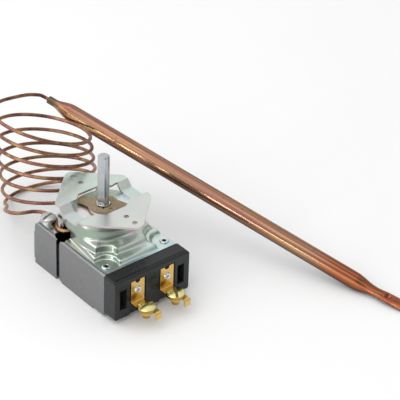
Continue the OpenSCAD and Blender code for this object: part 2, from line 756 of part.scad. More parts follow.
// A sector of a ring between two radii, centred on +X and half as wide as given
module ring_sector(r_in, r_out, half, low, high) {
    translate([0, 0, low]) linear_extrude(high - low) difference() {
        intersection() {
            circle(r_out);
            polygon([[0, 0], 2 * r_out * [cos(-half), sin(-half)], 2 * r_out * [1, 0],
                     2 * r_out * [cos(half), sin(half)]]);
        }
        circle(r_in);
    }
}

module bushing() {
    color([0.82, 0.82, 0.80]) difference() {
        union() {
            disc(bush_flange_r, dome_top, dome_top + bush_flange_t);
            disc(bush_r, bush_bottom, dome_top + eps);
            disc(stop_r, bush_bottom, bush_bottom + 1.2);
            rotate([0, 0, 180]) ring_sector(stop_in_r, stop_r, stop_post_a, collar_top - collar_t, bush_bottom + eps);
        }
        disc(bush_bore_r, bush_bottom - 5, dome_top + 5);
    }
}

module fibre_plate() {
    color([0.62, 0.52, 0.40]) translate([0, 0, fibre_z]) linear_extrude(fibre_t) difference() {
        union() {
            circle(fibre_r);
            for (e = fibre_ears) rotate(e[0])
                polygon(rounded([[0, -fibre_r + 1, 0], [fibre_waist, -e[3], 3], [e[1], -e[2], 1],
                                 [e[1], e[2], 1], [fibre_waist, e[3], 3], [0, fibre_r - 1, 0]]));
        }
        circle(fibre_hole_r);
        for (h = fibre_holes) rotate(h[0]) translate([h[1], 0]) circle(h[2]);
    }
}

module shaft() {
    color([0.72, 0.73, 0.74]) {
        difference() {
            union() {
                rotate_extrude() polygon([[0, collar_top - eps], [journal_r, collar_top - eps],
                    [journal_r, clip_z], [clip_groove_r, clip_z], [clip_groove_r, clip_z + clip_t + 0.1],
                    [shaft_r, clip_z + clip_t + 0.1], [shaft_r, shaft_rise - shaft_chamfer],
                    [shaft_r - shaft_chamfer, shaft_rise], [0, shaft_rise]]);
            }
            rotate([0, 0, flat_angle])
                box([shaft_across - shaft_r, -shaft_d, clip_z], [shaft_d, shaft_d, shaft_rise + 1]);
        }
        disc(shaft_collar_r, collar_top - collar_t, collar_top);
        ring_sector(shaft_collar_r - 0.5, stop_r, stop_lug_a, collar_top - collar_t, collar_top);
        disc(thread_r, thread_end, collar_top - collar_t + eps);
    }
}

module retaining_ring() {
    color([0.80, 0.80, 0.80]) translate([0, 0, clip_z]) linear_extrude(clip_t) difference() {
        union() {
            circle(clip_r);
            rotate(clip_ear_a) translate([clip_r - clip_hole_r, 0]) circle(clip_ear_r);
        }
        circle(clip_groove_r + run_gap);
        rotate(clip_ear_a) translate([clip_r - clip_hole_r, 0]) circle(clip_hole_r);
        rotate(clip_ear_a + 180) translate([0, -1.2]) square([clip_r + 1, 2.4]);
    }
}

module power_element() {
    color([0.75, 0.60, 0.35]) difference() {
        union() {
            rotate_extrude() polygon(rounded([[0, capsule_bottom, 0], [capsule_r - 3, capsule_bottom, 1],
                [capsule_r, capsule_bottom + 1.2, 0.4], [capsule_r, capsule_top - 0.8, 0.4],
                [capsule_r - 2, capsule_top, 1], [hub_r + 1, capsule_top, 0], [hub_r + 1, capsule_top - 0.4, 0],
                [hub_r, capsule_top - 0.4, 0], [hub_r, hub_top, 0.3], [0, hub_top, 0]]));
            rotate([0, 0, socket_a]) translate([socket_reach - 4, 0, socket_z]) rotate([0, 90, 0])
                cylinder(r = socket_r - 0.8, h = 4);
        }
        disc(thread_r + run_gap, thread_end - 0.8, hub_top + 1);
        disc(button_r + run_gap, capsule_bottom - 1, button_head + 0.2);
        rotate([0, 0, socket_a]) translate([socket_floor, 0, socket_z]) rotate([0, 90, 0])
            cylinder(r = socket_bore_r, h = socket_reach + 1 - socket_floor);
    }
}

// Unit vector of v
function unit(v) = v / norm(v);

// Sweeps a round section along a list of points with a ring at each of them
module tube(path, r, sides) {
    n = len(path);
    function way(i) = unit(path[min(i + 1, n - 1)] - path[max(i - 1, 0)]);
    function ring(i) =
        let (t = way(i), side = unit(cross(t, [0, 0, 1])), up = cross(side, t))
        [for (k = [0 : sides - 1]) path[i] + r * (cos(k * 360 / sides) * side + sin(k * 360 / sides) * up)];
    polyhedron([for (i = [0 : n - 1]) each ring(i)], concat(
        [[for (k = [0 : sides - 1]) k]],
        [for (i = [0 : n - 2], k = [0 : sides - 1], f = [0, 1])
            let (a = i * sides + k, b = i * sides + (k + 1) % sides)
            f == 0 ? [a, b + sides, b] : [a, a + sides, b + sides]],
        [[for (k = [0 : sides - 1]) (n - 1) * sides + sides - 1 - k]]));
}

module backlash_spring() {
    low = capsule_top + spring_wire / 2 + part_gap;
    high = bush_bottom - collar_gap - collar_t - spring_wire / 2 - part_gap;
    steps = 16;
    color([0.70, 0.70, 0.72])
        tube([for (i = [0 : spring_turns * steps])
            [spring_r * cos(i * 360 / steps), spring_r * sin(i * 360 / steps),
             low + (high - low) * i / (spring_turns * steps)]], spring_wire / 2, 6);
}

module push_button() {
    color([0.85, 0.85, 0.82]) union() {
        disc(button_r, button_tip + 0.6, button_head);
        disc(button_r - 1, button_tip, button_tip + 0.6 + eps);
    }
}

module lever() {
    color([0.70, 0.74, 0.74]) difference() {
        union() {
            translate([0, 0, lever_top - lever_t]) linear_extrude(lever_t)
                rounded_rect([-lever_x, plunger_y - 3], [lever_x, pivot_y + 3], 1.5);
            for (side = [-1, 1])
                along_x(side < 0 ? -lever_x : lever_x - lever_t, side < 0 ? -lever_x + lever_t : lever_x)
                    polygon(rounded([[pivot_y - 3.4, lever_top - lever_t / 2, 0], [pivot_y - 2.2, pivot_z - 2.2, 1.8],
                                     [pivot_y + 2.2, pivot_z - 2.2, 1.8], [pivot_y + 2.6, lever_top - lever_t / 2, 0]]));
        }
        translate([-lever_x - 1, pivot_y, pivot_z]) rotate([0, 90, 0])
            cylinder(r = pivot_r + run_gap, h = 2 * lever_x + 2);
    }
}

module lever_pin() {
    color([0.80, 0.80, 0.80]) translate([-pivot_lug_x - pivot_lug_w, pivot_y, pivot_z]) rotate([0, 90, 0])
        cylinder(r = pivot_r, h = 2 * (pivot_lug_x + pivot_lug_w));
}

module plunger() {
    color([0.90, 0.88, 0.82]) translate([0, plunger_y, 0]) {
        disc(plunger_r, plunger_end, plunger_top);
    }
}

module contact_blade() {
    color([0.78, 0.55, 0.32]) {
        box([-blade_w / 2, blade_root + 1.0, blade_top - blade_t], [blade_w / 2, blade_tip, blade_top]);
        translate([0, contact_y, 0]) disc(contact_r, blade_top - eps, blade_top + contact_h);
    }
}

module blade_carrier() {
    z = blade_top - blade_t - part_gap;
    color([0.80, 0.63, 0.27]) {
        // upright behind the right rivet
        box([term_x - strip_w / 2, shell_front + tub_wall, z - strip_t],
            [term_x + strip_w / 2, shell_front + tub_wall + strip_t, rivet_z + 3]);
        box([-blade_w / 2, shell_front + tub_wall, z - strip_t], [term_x + strip_w / 2, blade_root + 3.4, z]);
        box([-blade_w / 2, shell_front + tub_wall, tub_z + tub_floor], [blade_w / 2, blade_root, z - strip_t + eps]);
    }
}

module fixed_contact() {
    z = blade_top + contact_h + part_gap;
    color([0.80, 0.63, 0.27]) {
        box([-term_x - strip_w / 2, shell_front + tub_wall, z + contact_h],
            [-term_x + strip_w / 2, shell_front + tub_wall + strip_t, rivet_z + 3]);
        box([-term_x - strip_w / 2, shell_front + tub_wall, z + contact_h],
            [-term_x + strip_w / 2, contact_y + 2.4, z + contact_h + strip_t]);
        box([-term_x - strip_w / 2, contact_y - 2.4, z + contact_h], [2.4, contact_y + 2.4, z + contact_h + strip_t]);
        translate([0, contact_y, 0]) disc(contact_r, z, z + contact_h + eps);
    }
}

// Height of the coil's middle line t turns down, from the end of its drop
function coil_height(t) =
    let (a = 180 + 360 * t)
    turn_rise * (turns - t) + turn_r * (cos(a) * (lean_first + lean_step * t) + sin(a) * (tilt_first + tilt_step * t));
coil_base = floor_z + tube_d / 2 + coil_lift
    - min([for (i = [0 : 2 * turn_steps]) coil_height(last_turn - i / turn_steps)]);

// Middle line of the coil, t turns down from where its first turn starts on the left
function coil_point(t) =
    let (a = 180 + 360 * t + heading)
    [coil_x + coil_drift * t + turn_r * cos(a), coil_y + turn_r * sin(a), coil_base + coil_height(t)];

// Point at s between b and c on the smooth curve through a, b, c and d
function smooth(a, b, c, d, s) =
    0.5 * (2 * b + (c - a) * s + (2 * a - 5 * b + 4 * c - d) * s * s + (3 * b - 3 * c + d - a) * s * s * s);

// A smooth curve through the points of p, which starts and ends on its second and second last
function smooth_path(p, steps) = [for (i = [1 : len(p) - 3], k = [0 : steps - 1])
    smooth(p[i - 1], p[i], p[i + 1], p[i + 2], k / steps)];

module capillary() {
    first = coil_point(0);
    last = coil_point(last_turn);
    coil = [for (i = [0 : round(last_turn * turn_steps)]) coil_point(i / turn_steps)];
    n = len(coil);
    upper = smooth_path(concat([2 * upper_lead[0] - upper_lead[1]], upper_lead, [coil[0], coil[2]]), lead_steps);
    lower = smooth_path(concat([coil[n - 4], coil[n - 1]], lower_lead, [lower_lead[len(lower_lead) - 1] + [3, 0, 0]]),
                        lead_steps);
    color([0.62, 0.38, 0.27])
        tube(concat(upper, [for (i = [0 : n - 2]) coil[i]], lower, [lower_lead[len(lower_lead) - 1]]), tube_d / 2, 8);
}

// Stations along the bulb from its neck: distance, half width, half thickness
bulb_stations =
    let (r = bulb_d / 2, full = neck_l + neck_taper, end = bulb_l)
    [[0, neck_d / 2 - 0.3, neck_d / 2 - 0.3], [0.3, neck_d / 2, neck_d / 2], [neck_l - 0.5, neck_d / 2, neck_d / 2],
     [neck_l + 1, neck_d / 2 + 0.3, neck_d / 2 + 0.3], [neck_l + 3.2, neck_d / 2 + 1, neck_d / 2 + 1],
     [full - 3.4, r - 0.65, r - 0.65], [full - 1.5, r - 0.2, r - 0.2], [full + 0.5, r, r],
     [end, r, r], [end + 3, r * 0.95, r * 0.865], [end + 6, r * 0.82, r * 0.70],
     [end + tail_taper, r * 0.71, r * 0.53], [end + tail_pinch, r * 0.66, tail_t * 0.68],
     [end + tail_pinch + 2.5, tail_w * 0.44, tail_t * 0.56], [end + tail_pinch + 5, tail_w / 2, tail_t / 2],
     [end + tail_l - 3, tail_w / 2, tail_t / 2], [end + tail_l - 1, tail_w * 0.42, tail_t / 2],
     [end + tail_l, tail_w * 0.2, tail_t / 2]];

// The bulb along +X: swaged neck, taper, long cylinder, and a tail that flattens and bends a little
module bulb() {
    sides = 32;
    n = len(bulb_stations);
    dimple = tail_pinch + 7;
    function bend(x) = max(0, x - bulb_l - 4);
    function section(q) = [for (k = [0 : sides - 1])
        let (a = k * 360 / sides, e = 1 - 0.45 * (1 - q[2] / q[1]))
        [q[0], q[1] * sign(cos(a)) * pow(abs(cos(a)), e) - tail_side * bend(q[0]),
         q[2] * sign(sin(a)) * pow(abs(sin(a)), e) + tail_rise * bend(q[0])]];
    color([0.60, 0.36, 0.26]) translate(bulb_start) rotate([0, bulb_dip, bulb_turn]) difference() {
        polyhedron([for (q = bulb_stations) each section(q)], concat(
            [[for (k = [0 : sides - 1]) sides - 1 - k]],
            [for (i = [0 : n - 2], k = [0 : sides - 1], f = [0, 1])
                let (a = i * sides + k, b = i * sides + (k + 1) % sides)
                f == 0 ? [a, b, b + sides] : [a, b + sides, a + sides]],
            [[for (k = [0 : sides - 1]) (n - 1) * sides + k]]));
        translate([-1, 0, 0]) rotate([0, 90, 0]) cylinder(r = tube_d / 2 + run_gap, h = 1 + neck_bore_l);
        translate([bulb_l + dimple, -tail_side * bend(bulb_l + dimple),
                   tail_rise * bend(bulb_l + dimple) + tail_t / 2 + 1.0])
            sphere(r = 2.3);
    }
}

front_shell();
rear_shell();
base_plate();
cover();
switch_base();
terminal_left();
terminal_right();
terminal_screws();
terminal_rivets();
cover_eyelets();
clamp_screw();
clamp_spacer();
bracket();
bushing();
fibre_plate();
shaft();
retaining_ring();
power_element();
backlash_spring();
push_button();
lever();
lever_pin();
plunger();
contact_blade();
blade_carrier();
fixed_contact();
capillary();
bulb();
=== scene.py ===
"""Dresses the capillary thermostat in its real finishes: zinc plated sheet, black phenolic,
bright brass, drawn steel and aged copper, with the fine pieces that sit on the solids."""

import json
import math

import bmesh
import bpy
from bpy.props import FloatProperty, FloatVectorProperty, PointerProperty
from mathutils import Matrix, Vector


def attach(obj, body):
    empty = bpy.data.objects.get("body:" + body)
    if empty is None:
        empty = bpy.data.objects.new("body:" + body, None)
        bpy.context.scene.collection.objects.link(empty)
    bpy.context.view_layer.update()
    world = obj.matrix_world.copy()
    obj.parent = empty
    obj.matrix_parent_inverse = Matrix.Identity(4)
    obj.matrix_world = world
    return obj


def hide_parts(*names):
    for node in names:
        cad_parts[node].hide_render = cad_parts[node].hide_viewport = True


bl_info = {
    "name": "Capillary thermostat",
    "version": (1, 0, 0),
    "blender": (4, 5, 0),
    "location": "View3D > Sidebar > Thermostat",
    "description": "Finishes, fine pieces and studio for a capillary thermostat",
    "category": "Object",
}

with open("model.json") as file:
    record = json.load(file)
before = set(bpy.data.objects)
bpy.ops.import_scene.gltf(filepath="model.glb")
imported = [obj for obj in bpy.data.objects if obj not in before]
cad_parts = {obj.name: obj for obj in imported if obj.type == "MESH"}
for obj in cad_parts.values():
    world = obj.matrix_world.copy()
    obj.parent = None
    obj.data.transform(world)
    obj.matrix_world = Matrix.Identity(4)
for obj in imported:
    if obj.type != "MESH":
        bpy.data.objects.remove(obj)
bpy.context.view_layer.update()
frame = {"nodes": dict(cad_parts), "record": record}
MM = 0.001
FLOOR_Z = -0.0466
BODY_OF = {
    node: body for body, nodes in frame["record"]["behaviour"]["bodies"].items() for node in nodes}

# The drawn cover, in millimetres: its flange and dome, the platform and the openings.
# A fastener is its place and the radius of the recess that the platform leaves round it.
FLANGE_TOP = -19.4
DOME_TOP = -4.8
PLATE_X, PLATE_FRONT, PLATE_REAR = 22.9, -33.3, 27.0
PLATFORM_X, PLATFORM_FRONT, PLATFORM_REAR = 19.55, -31.7, 25.2
PLATFORM_SLANT = math.radians(9.2)
COVER_SHEET = 0.8
BUSH_HOLE = 5.23
FASTENERS = [(-19.2, -28.0, 6.8), (19.2, -28.0, 6.8), (-19.5, 22.8, 7.0), (19.5, 22.8, 7.0)]
FASTENER_HOLE = 1.66
CAPILLARY_OPENING = ((-23.7, 3.5, -23.2), (-17.1, 12.2, -15.0))
DIMPLE_X, DIMPLE_Y, DIMPLE_DEPTH = 11.6, -25.4, 0.45
DIMPLE_REACH_X, DIMPLE_REACH_Y = 1.5, 2.2

# The channel's wall, as shares of the way from the dome's foot to the platform's edge, each
# with its height above the flange
DOME_FOOT = (20.3, 20.0)
CHANNEL_WALL = [(0.80, 2.25), (0.60, 2.45), (0.54, 2.9), (0.45, 4.9), (0.36, 5.7), (0.10, 6.5)]

# The dome's ovals: half width, half depth, least distance from the platform's edge, and how far
# they lie below the dome's top
DOME_OVALS = [(20.0, 19.0, 0.9, 5.2), (19.8, 18.0, 1.5, 2.2), (19.3, 16.6, 2.0, 0.9),
              (18.7, 15.9, 2.6, 0.12), (18.0, 15.0, 3.3, 0.0)]

# Relief under each tab of the switch base, from the tab's middle, filled in the rounded copy
TAB_MIDDLES = (-9.7, 9.7)
RELIEF_LOW, RELIEF_HIGH = (-4.95, -41.8, -43.68), (5.45, -39.1, -40.5)

# The capillary's formed turns, in millimetres. COIL_SHIFT and COIL_RISE are for one turn, and
# TUBE_CLEAR is the least height of the tube's axis over the floor.
TURNS, TURN_STEPS = 6, 24
COIL_RADIUS, COIL_RISE = 26.5, 9.0
COIL_X, COIL_Y, COIL_SHIFT = 3.9, 61.5, 1.1
COIL_START = math.radians(180 - 37.8)
TUBE_CLEAR = 1.3

# The bulb: its neck, length and radius in millimetres, and for its streaks the axis and the
# places of its ends along that axis, in metres
BULB_NECK, BULB_LENGTH, BULB_RADIUS = Vector((29, 89.2, 7.4)), 202, 4.7625
BULB_TURN = math.radians(-69.2)
BULB_AXIS, BULB_ENDS = (0.345, -0.906, -0.244), (-0.0730, 0.1295)

# Where the capillary enters the power element, in millimetres from the shaft's axis
SOCKET_TURN, SOCKET_REACH, SOCKET_Z = math.radians(155), 17.4, -17.6


# Settings


class StageSettings(bpy.types.PropertyGroup):
    """Camera, lamps and the studio that metal mirrors"""
    camera_place: FloatVectorProperty(
        name="Camera place", description="Where the camera stands", size=3,
        subtype="TRANSLATION", unit="LENGTH", default=(-0.5308, -0.6941, 0.5952))
    camera_back: FloatVectorProperty(
        name="Camera back", description="Direction from the object towards the camera", size=3,
        subtype="DIRECTION", default=(-0.5398, -0.6264, 0.5623))
    camera_azimuth: FloatProperty(
        name="Camera azimuth", description="Turn of the camera about the vertical",
        subtype="ANGLE", default=math.radians(40.75))
    camera_roll: FloatProperty(
        name="Camera roll", description="Roll of the camera about its own axis",
        subtype="ANGLE", default=math.radians(2.27))
    lens: FloatProperty(
        name="Lens", description="Focal length in millimetres", unit="CAMERA", default=180.0)
    sky: FloatProperty(name="Sky", description="Strength of the even light all round", default=0.80)
    key: FloatProperty(
        name="Key light", description="Power of the large soft light", unit="POWER", default=5.0)
    bright_side: FloatVectorProperty(
        name="Bright side", description="Direction in which the studio is brightest", size=3,
        subtype="DIRECTION", default=(-0.20, 0.75, 0.62))
    side_light: FloatVectorProperty(
        name="Side light", description="Direction of the soft light that metal mirrors on the left",
        size=3, subtype="DIRECTION", default=(-0.97, -0.14, 0.19))
    front_light: FloatVectorProperty(
        name="Front light", description="Direction of the soft light that metal mirrors in front",
        size=3, subtype="DIRECTION", default=(0.50, -0.62, 0.60))


class PlatingSettings(bpy.types.PropertyGroup):
    """Zinc plating of the sheet metal"""
    # The shells' zinc is set far darker than the cover's: partly the plating's own colour, partly
    # painted shade
    shell_zinc_and_shade_colour: FloatVectorProperty(
        name="Shell colour", description="Zinc plating on the shells", size=3, subtype="COLOR",
        min=0, max=1, default=(0.235, 0.248, 0.25))
    cover_colour: FloatVectorProperty(
        name="Cover colour", description="Zinc plating on the drawn cover", size=3,
        subtype="COLOR", min=0, max=1, default=(0.74, 0.83, 0.74))
    cool_tint: FloatVectorProperty(
        name="Cool tint", description="Blue cast of the passivation", size=3, subtype="COLOR",
        min=0, max=1, default=(0.52, 0.70, 0.74))
    warm_tint: FloatVectorProperty(
        name="Warm tint", description="Pink cast of the passivation", size=3, subtype="COLOR",
        min=0, max=1, default=(0.87, 0.77, 0.78))
    roughness: FloatProperty(
        name="Roughness", description="Roughness of the plating", subtype="FACTOR",
        min=0, max=1, default=0.26)


class CopperSettings(bpy.types.PropertyGroup):
    """Bulb and capillary"""
    bulb_colour: FloatVectorProperty(
        name="Bulb colour", description="Aged copper of the bulb", size=3, subtype="COLOR",
        min=0, max=1, default=(0.36, 0.185, 0.12))
    tube_colour: FloatVectorProperty(
        name="Capillary colour", description="Drawn copper of the capillary", size=3,
        subtype="COLOR", min=0, max=1, default=(0.33, 0.165, 0.105))
    tube_width: FloatProperty(
        name="Capillary diameter", description="Outer diameter of the capillary", unit="LENGTH",
        default=0.0020)


class SwitchSettings(bpy.types.PropertyGroup):
    """Switch base and terminals"""
    phenolic_colour: FloatVectorProperty(
        name="Phenolic colour", description="Black moulding", size=3, subtype="COLOR",
        min=0, max=1, default=(0.020, 0.022, 0.023))
    brass_colour: FloatVectorProperty(
        name="Brass colour", description="Terminals", size=3, subtype="COLOR",
        min=0, max=1, default=(0.85, 0.60, 0.20))


SETTINGS = {
    "thermostat_stage": StageSettings,
    "thermostat_plating": PlatingSettings,
    "thermostat_copper": CopperSettings,
    "thermostat_switch": SwitchSettings,
}


# Shader nodes


def add(tree, kind, **values):
    """A node with its properties and input values set by name."""
    node = tree.nodes.new(kind)
    for key, value in values.items():
        if key.startswith("in_"):
            label = key[3:].replace("_", " ")
            socket = next(s for s in node.inputs if s.name.lower() == label.lower() and s.enabled)
            socket.default_value = value
        else:
            setattr(node, key, value)
    return node


def feed(tree, value, socket):
    """Links a socket to an input, or sets the input to a plain value."""
    if isinstance(value, bpy.types.NodeSocket):
        tree.links.new(value, socket)
    else:
        socket.default_value = value


def feed_all(tree, node, values):
    """Feeds a node's first inputs in order, and gives its first output."""
    for socket, value in zip(node.inputs, values):
        feed(tree, value, socket)
    return node.outputs[0]


def compute(tree, operation, *values, **settings):
    """The result of a Math node."""
    return feed_all(tree, add(tree, "ShaderNodeMath", operation=operation, **settings), values)


def dot(tree, vector, way):
    """How far a vector reaches in a direction."""
    node = add(tree, "ShaderNodeVectorMath", operation="DOT_PRODUCT")
    feed_all(tree, node, (vector, way))
    return node.outputs["Value"]


def remap(tree, value, span=(0.0, 1.0), to=(0.0, 1.0), blend="LINEAR"):
    """Maps a socket from a span to another range, and holds it inside that range."""
    node = add(tree, "ShaderNodeMapRange", clamp=True, interpolation_type=blend)
    return feed_all(tree, node, (value, *span, *to))


def coordinates(tree, kind="Object"):
    """A texture coordinate of the surface."""
    return add(tree, "ShaderNodeTexCoord").outputs[kind]


def noise(tree, vector, scale, detail, roughness, distortion=0.0):
    """The value of a noise texture."""
    node = add(tree, "ShaderNodeTexNoise", in_Detail=detail, in_Roughness=roughness,
               in_Distortion=distortion)
    feed(tree, vector, node.inputs["Vector"])
    feed(tree, scale, node.inputs["Scale"])
    return node.outputs[0]


def ramp(tree, value, stops):
    """The colour of a ramp with the given (position, colour) stops."""
    node = tree.nodes.new("ShaderNodeValToRGB")
    elements = node.color_ramp.elements
    while len(elements) < len(stops):
        elements.new(0.5)
    for element, (place, colour) in zip(elements, stops):
        element.position = place
        element.color = rgba(colour)
    tree.links.new(value, node.inputs[0])
    return node.outputs[0]


def mix_colour(tree, factor, a, b, blend="MIX"):
    """A colour mix of a and b, each a socket or a plain colour."""
    node = add(tree, "ShaderNodeMix", data_type="RGBA", blend_type=blend)
    inputs, result = (0, 6, 7), 2
    for index, value in zip(inputs, (factor, a, b)):
        feed(tree, value, node.inputs[index])
    return node.outputs[result]


def bump(tree, height, strength, distance):
    """A bump node on a height socket, with its distance in metres."""
    node = add(tree, "ShaderNodeBump", in_Strength=strength, in_Distance=distance)
    tree.links.new(height, node.inputs["Height"])
    return node.outputs[0]


def rgba(colour):
    """A colour with full alpha."""
    return (*colour[:3], 1.0)


def toned(colour, *factors):
    """A colour times one factor, or times one for each channel, with no channel above 1."""
    if len(factors) == 1:
        factors *= 3
    return [min(1.0, channel * factor) for channel, factor in zip(colour, factors)]


# Shader node groups


def new_group(name, inputs, outputs):
    """An empty shader node group, with the sockets that it is given and those of its result."""
    tree = bpy.data.node_groups.new(name, "ShaderNodeTree")
    for label, kind, value in inputs:
        socket = tree.interface.new_socket(label, in_out="INPUT", socket_type=kind)
        socket.default_value = value
    for label, kind in outputs:
        tree.interface.new_socket(label, in_out="OUTPUT", socket_type=kind)
    return tree, tree.nodes.new("NodeGroupInput").outputs, tree.nodes.new("NodeGroupOutput").inputs


def plating_group():
    """Zinc passivation: broad patches of cool and warm tint over the base colour."""
    tree, given, result = new_group(
        "Zinc passivation",
        [("Base", "NodeSocketColor", (0.6, 0.6, 0.6, 1)),
         ("Cool", "NodeSocketColor", (0.5, 0.6, 0.8, 1)),
         ("Warm", "NodeSocketColor", (0.8, 0.7, 0.7, 1)),
         ("Tint", "NodeSocketFloat", 0.4), ("Scale", "NodeSocketFloat", 60.0)],
        [("Color", "NodeSocketColor"), ("Haze", "NodeSocketFloat")])
    place = coordinates(tree)
    patches = noise(tree, place, given["Scale"], detail=3.0, roughness=0.55, distortion=0.6)
    broad_scale = compute(tree, "MULTIPLY", given["Scale"], 0.43)
    broad = noise(tree, place, broad_scale, detail=2.0, roughness=0.5)
    colour = given["Base"]
    for tint, value, low in (("Cool", patches, 0.44), ("Warm", broad, 0.47)):
        mask = ramp(tree, value, [(low, (0, 0, 0)), (0.60, (1, 1, 1))])
        amount = compute(tree, "MULTIPLY", mask, given["Tint"])
        colour = mix_colour(tree, amount, colour, given[tint])
    tree.links.new(colour, result["Color"])
    tree.links.new(broad, result["Haze"])
    return tree


def grain_group():
    """Fine drawn or rolled lines: noise stretched along the direction with the small scale."""
    tree, given, result = new_group(
        "Rolled lines",
        [("Scale", "NodeSocketVector", (400, 400, 400)), ("Contrast", "NodeSocketFloat", 1.0)],
        [("Line", "NodeSocketFloat")])
    stretch = add(tree, "ShaderNodeVectorMath", operation="MULTIPLY")
    stretched = feed_all(tree, stretch, (coordinates(tree), given["Scale"]))
    lines = noise(tree, stretched, scale=1.0, detail=4.0, roughness=0.6)
    middle = 0.5
    from_middle = compute(tree, "SUBTRACT", lines, middle)
    contrasted = compute(tree, "MULTIPLY_ADD", from_middle, given["Contrast"], middle)
    tree.links.new(contrasted, result["Line"])
    return tree


def marks_group():
    """Small spots of dust, pits and handling marks as a mask."""
    tree, given, result = new_group(
        "Handling marks",
        [("Scale", "NodeSocketFloat", 900.0), ("Threshold", "NodeSocketFloat", 0.68)],
        [("Mask", "NodeSocketFloat"), ("Fine", "NodeSocketFloat")])
    spots = noise(tree, coordinates(tree), given["Scale"], detail=5.0, roughness=0.7)
    over = compute(tree, "SUBTRACT", spots, given["Threshold"])
    sharpness = 12.0
    tree.links.new(compute(tree, "MULTIPLY", over, sharpness, use_clamp=True), result["Mask"])
    tree.links.new(spots, result["Fine"])
    return tree


def slope_group():
    """How upright a face stands, from 0 to 1, and how much of that is turned to one side. It is the
    mask of the painted shade on upright faces.
    """
    tree, given, result = new_group(
        "Steepness", [("Flat", "NodeSocketFloat", 0.8), ("Steep", "NodeSocketFloat", 0.3),
                      ("Side", "NodeSocketVector", (0, -1, 0))],
        [("Mask", "NodeSocketFloat"), ("Turned", "NodeSocketFloat")])
    normal = coordinates(tree, "Normal")
    parts = add(tree, "ShaderNodeSeparateXYZ")
    tree.links.new(normal, parts.inputs[0])
    level = compute(tree, "ABSOLUTE", parts.outputs["Z"])
    mask = remap(tree, level, span=(given["Flat"], given["Steep"]), blend="SMOOTHSTEP")
    facing = remap(tree, dot(tree, normal, given["Side"]), span=(0.1, 0.75), blend="SMOOTHSTEP")
    tree.links.new(mask, result["Mask"])
    tree.links.new(compute(tree, "MULTIPLY", mask, facing), result["Turned"])
    return tree


GROUPS = {}


def groups():
    """The node groups, built once."""
    if not GROUPS:
        GROUPS.update(plating=plating_group(), grain=grain_group(), marks=marks_group(),
                      slope=slope_group())
    return GROUPS


def use_group(tree, name, **values):
    """A node that places one of the groups, with its inputs set by name."""
    node = tree.nodes.new("ShaderNodeGroup")
    node.node_tree = groups()[name]
    for label, value in values.items():
        node.inputs[label].default_value = value
    return node


# Materials


def new_material(name, metallic, roughness, **constants):
    """A material with a Principled shader whose plain values are set on its own sockets."""
    mat = bpy.data.materials.new(name)
    mat.use_nodes = True
    shader = mat.node_tree.nodes["Principled BSDF"]
    shader.inputs["Metallic"].default_value = metallic
    shader.inputs["Roughness"].default_value = roughness
    for label, value in constants.items():
        shader.inputs[label.replace("_", " ")].default_value = value
    return mat, mat.node_tree, shader


def plug(tree, shader, **sockets):
    """Links sockets to the shader's inputs by name."""
    for label, socket in sockets.items():
        tree.links.new(socket, shader.inputs[label.replace("_", " ")])


def paint_slope_shade(tree, colour, steep, flat, upright, side=None):
    """Paints shade: mixes a colour towards the given painted shade where faces stand upright, and
    only on one side if given.
    flat and upright are the levels of the normal between which the mix goes from none to all."""
    slope = use_group(tree, "slope", Flat=flat, Steep=upright)
    if side:
        slope.inputs["Side"].default_value = side
    return mix_colour(tree, slope.outputs["Turned" if side else "Mask"], colour, rgba(steep))


def zinc(name, base, tint, scale, roughness, lines, wave=0.3, wear=0.15, steep=None, side=None):
    """Zinc plated sheet with tinted patches, rolled lines, soft waves and wear. The shade colour,
    if given, is painted shade on its drawn walls, on one side only if side is given."""
    cfg = bpy.context.scene.thermostat_plating
    mat, tree, shader = new_material(name, 1.0, roughness)
    level = sum(base) / sum(cfg.cover_colour)
    tints = use_group(tree, "plating", Base=rgba(base), Cool=rgba(toned(cfg.cool_tint, level)),
                      Warm=rgba(toned(cfg.warm_tint, level)), Tint=tint, Scale=scale)
    colour = tints.outputs["Color"]
    if steep:
        colour = paint_slope_shade(tree, colour, steep, flat=0.85, upright=0.35, side=side)
    marks = use_group(tree, "marks", Scale=300.0, Threshold=0.62)
    worn = remap(tree, marks.outputs["Mask"], to=(0.0, wear))
    grain = use_group(tree, "grain", Scale=lines, Contrast=1.0)
    plug(tree, shader,
         Base_Color=mix_colour(tree, worn, colour, rgba(toned(base, 0.6))),
         Roughness=remap(tree, grain.outputs["Line"], to=(roughness * 0.85, roughness * 1.2)),
         Normal=bump(tree, tints.outputs["Haze"], wave, distance=0.0006))
    return mat


def turned_metal(name, base, roughness, lines, tone=0.08, steep=None):
    """Turned or drawn metal with fine lines; the shade colour, if given, is painted shade on
    upright faces.
    """
    mat, tree, shader = new_material(name, 1.0, roughness)
    line = use_group(tree, "grain", Scale=lines, Contrast=1.2).outputs["Line"]
    colour = ramp(tree, line, [(0.2, toned(base, 1 - tone)), (0.8, toned(base, 1 + tone))])
    if steep:
        colour = paint_slope_shade(tree, colour, steep, flat=0.9, upright=0.3)
    plug(tree, shader, Base_Color=colour,
         Roughness=remap(tree, line, to=(roughness * 0.7, roughness * 1.3)),
         Normal=bump(tree, line, strength=0.04, distance=0.00001))
    return mat


def phenolic():
    """Black phenolic moulding: soft sheen, faint mottling and dust."""
    base = bpy.context.scene.thermostat_switch.phenolic_colour
    mat, tree, shader = new_material("black phenolic", 0.0, 0.38, Specular_IOR_Level=0.28)
    marks = use_group(tree, "marks", Scale=1500.0, Threshold=0.64)
    dust = remap(tree, marks.outputs["Mask"], to=(0.0, 0.5))
    broad = use_group(tree, "marks", Scale=120.0, Threshold=0.5)
    plug(tree, shader,
         Base_Color=mix_colour(tree, dust, rgba(base), (0.09, 0.09, 0.095, 1)),
         Roughness=remap(tree, broad.outputs["Fine"], to=(0.18, 0.38)),
         Normal=bump(tree, marks.outputs["Fine"], strength=0.1, distance=0.00003))
    return mat


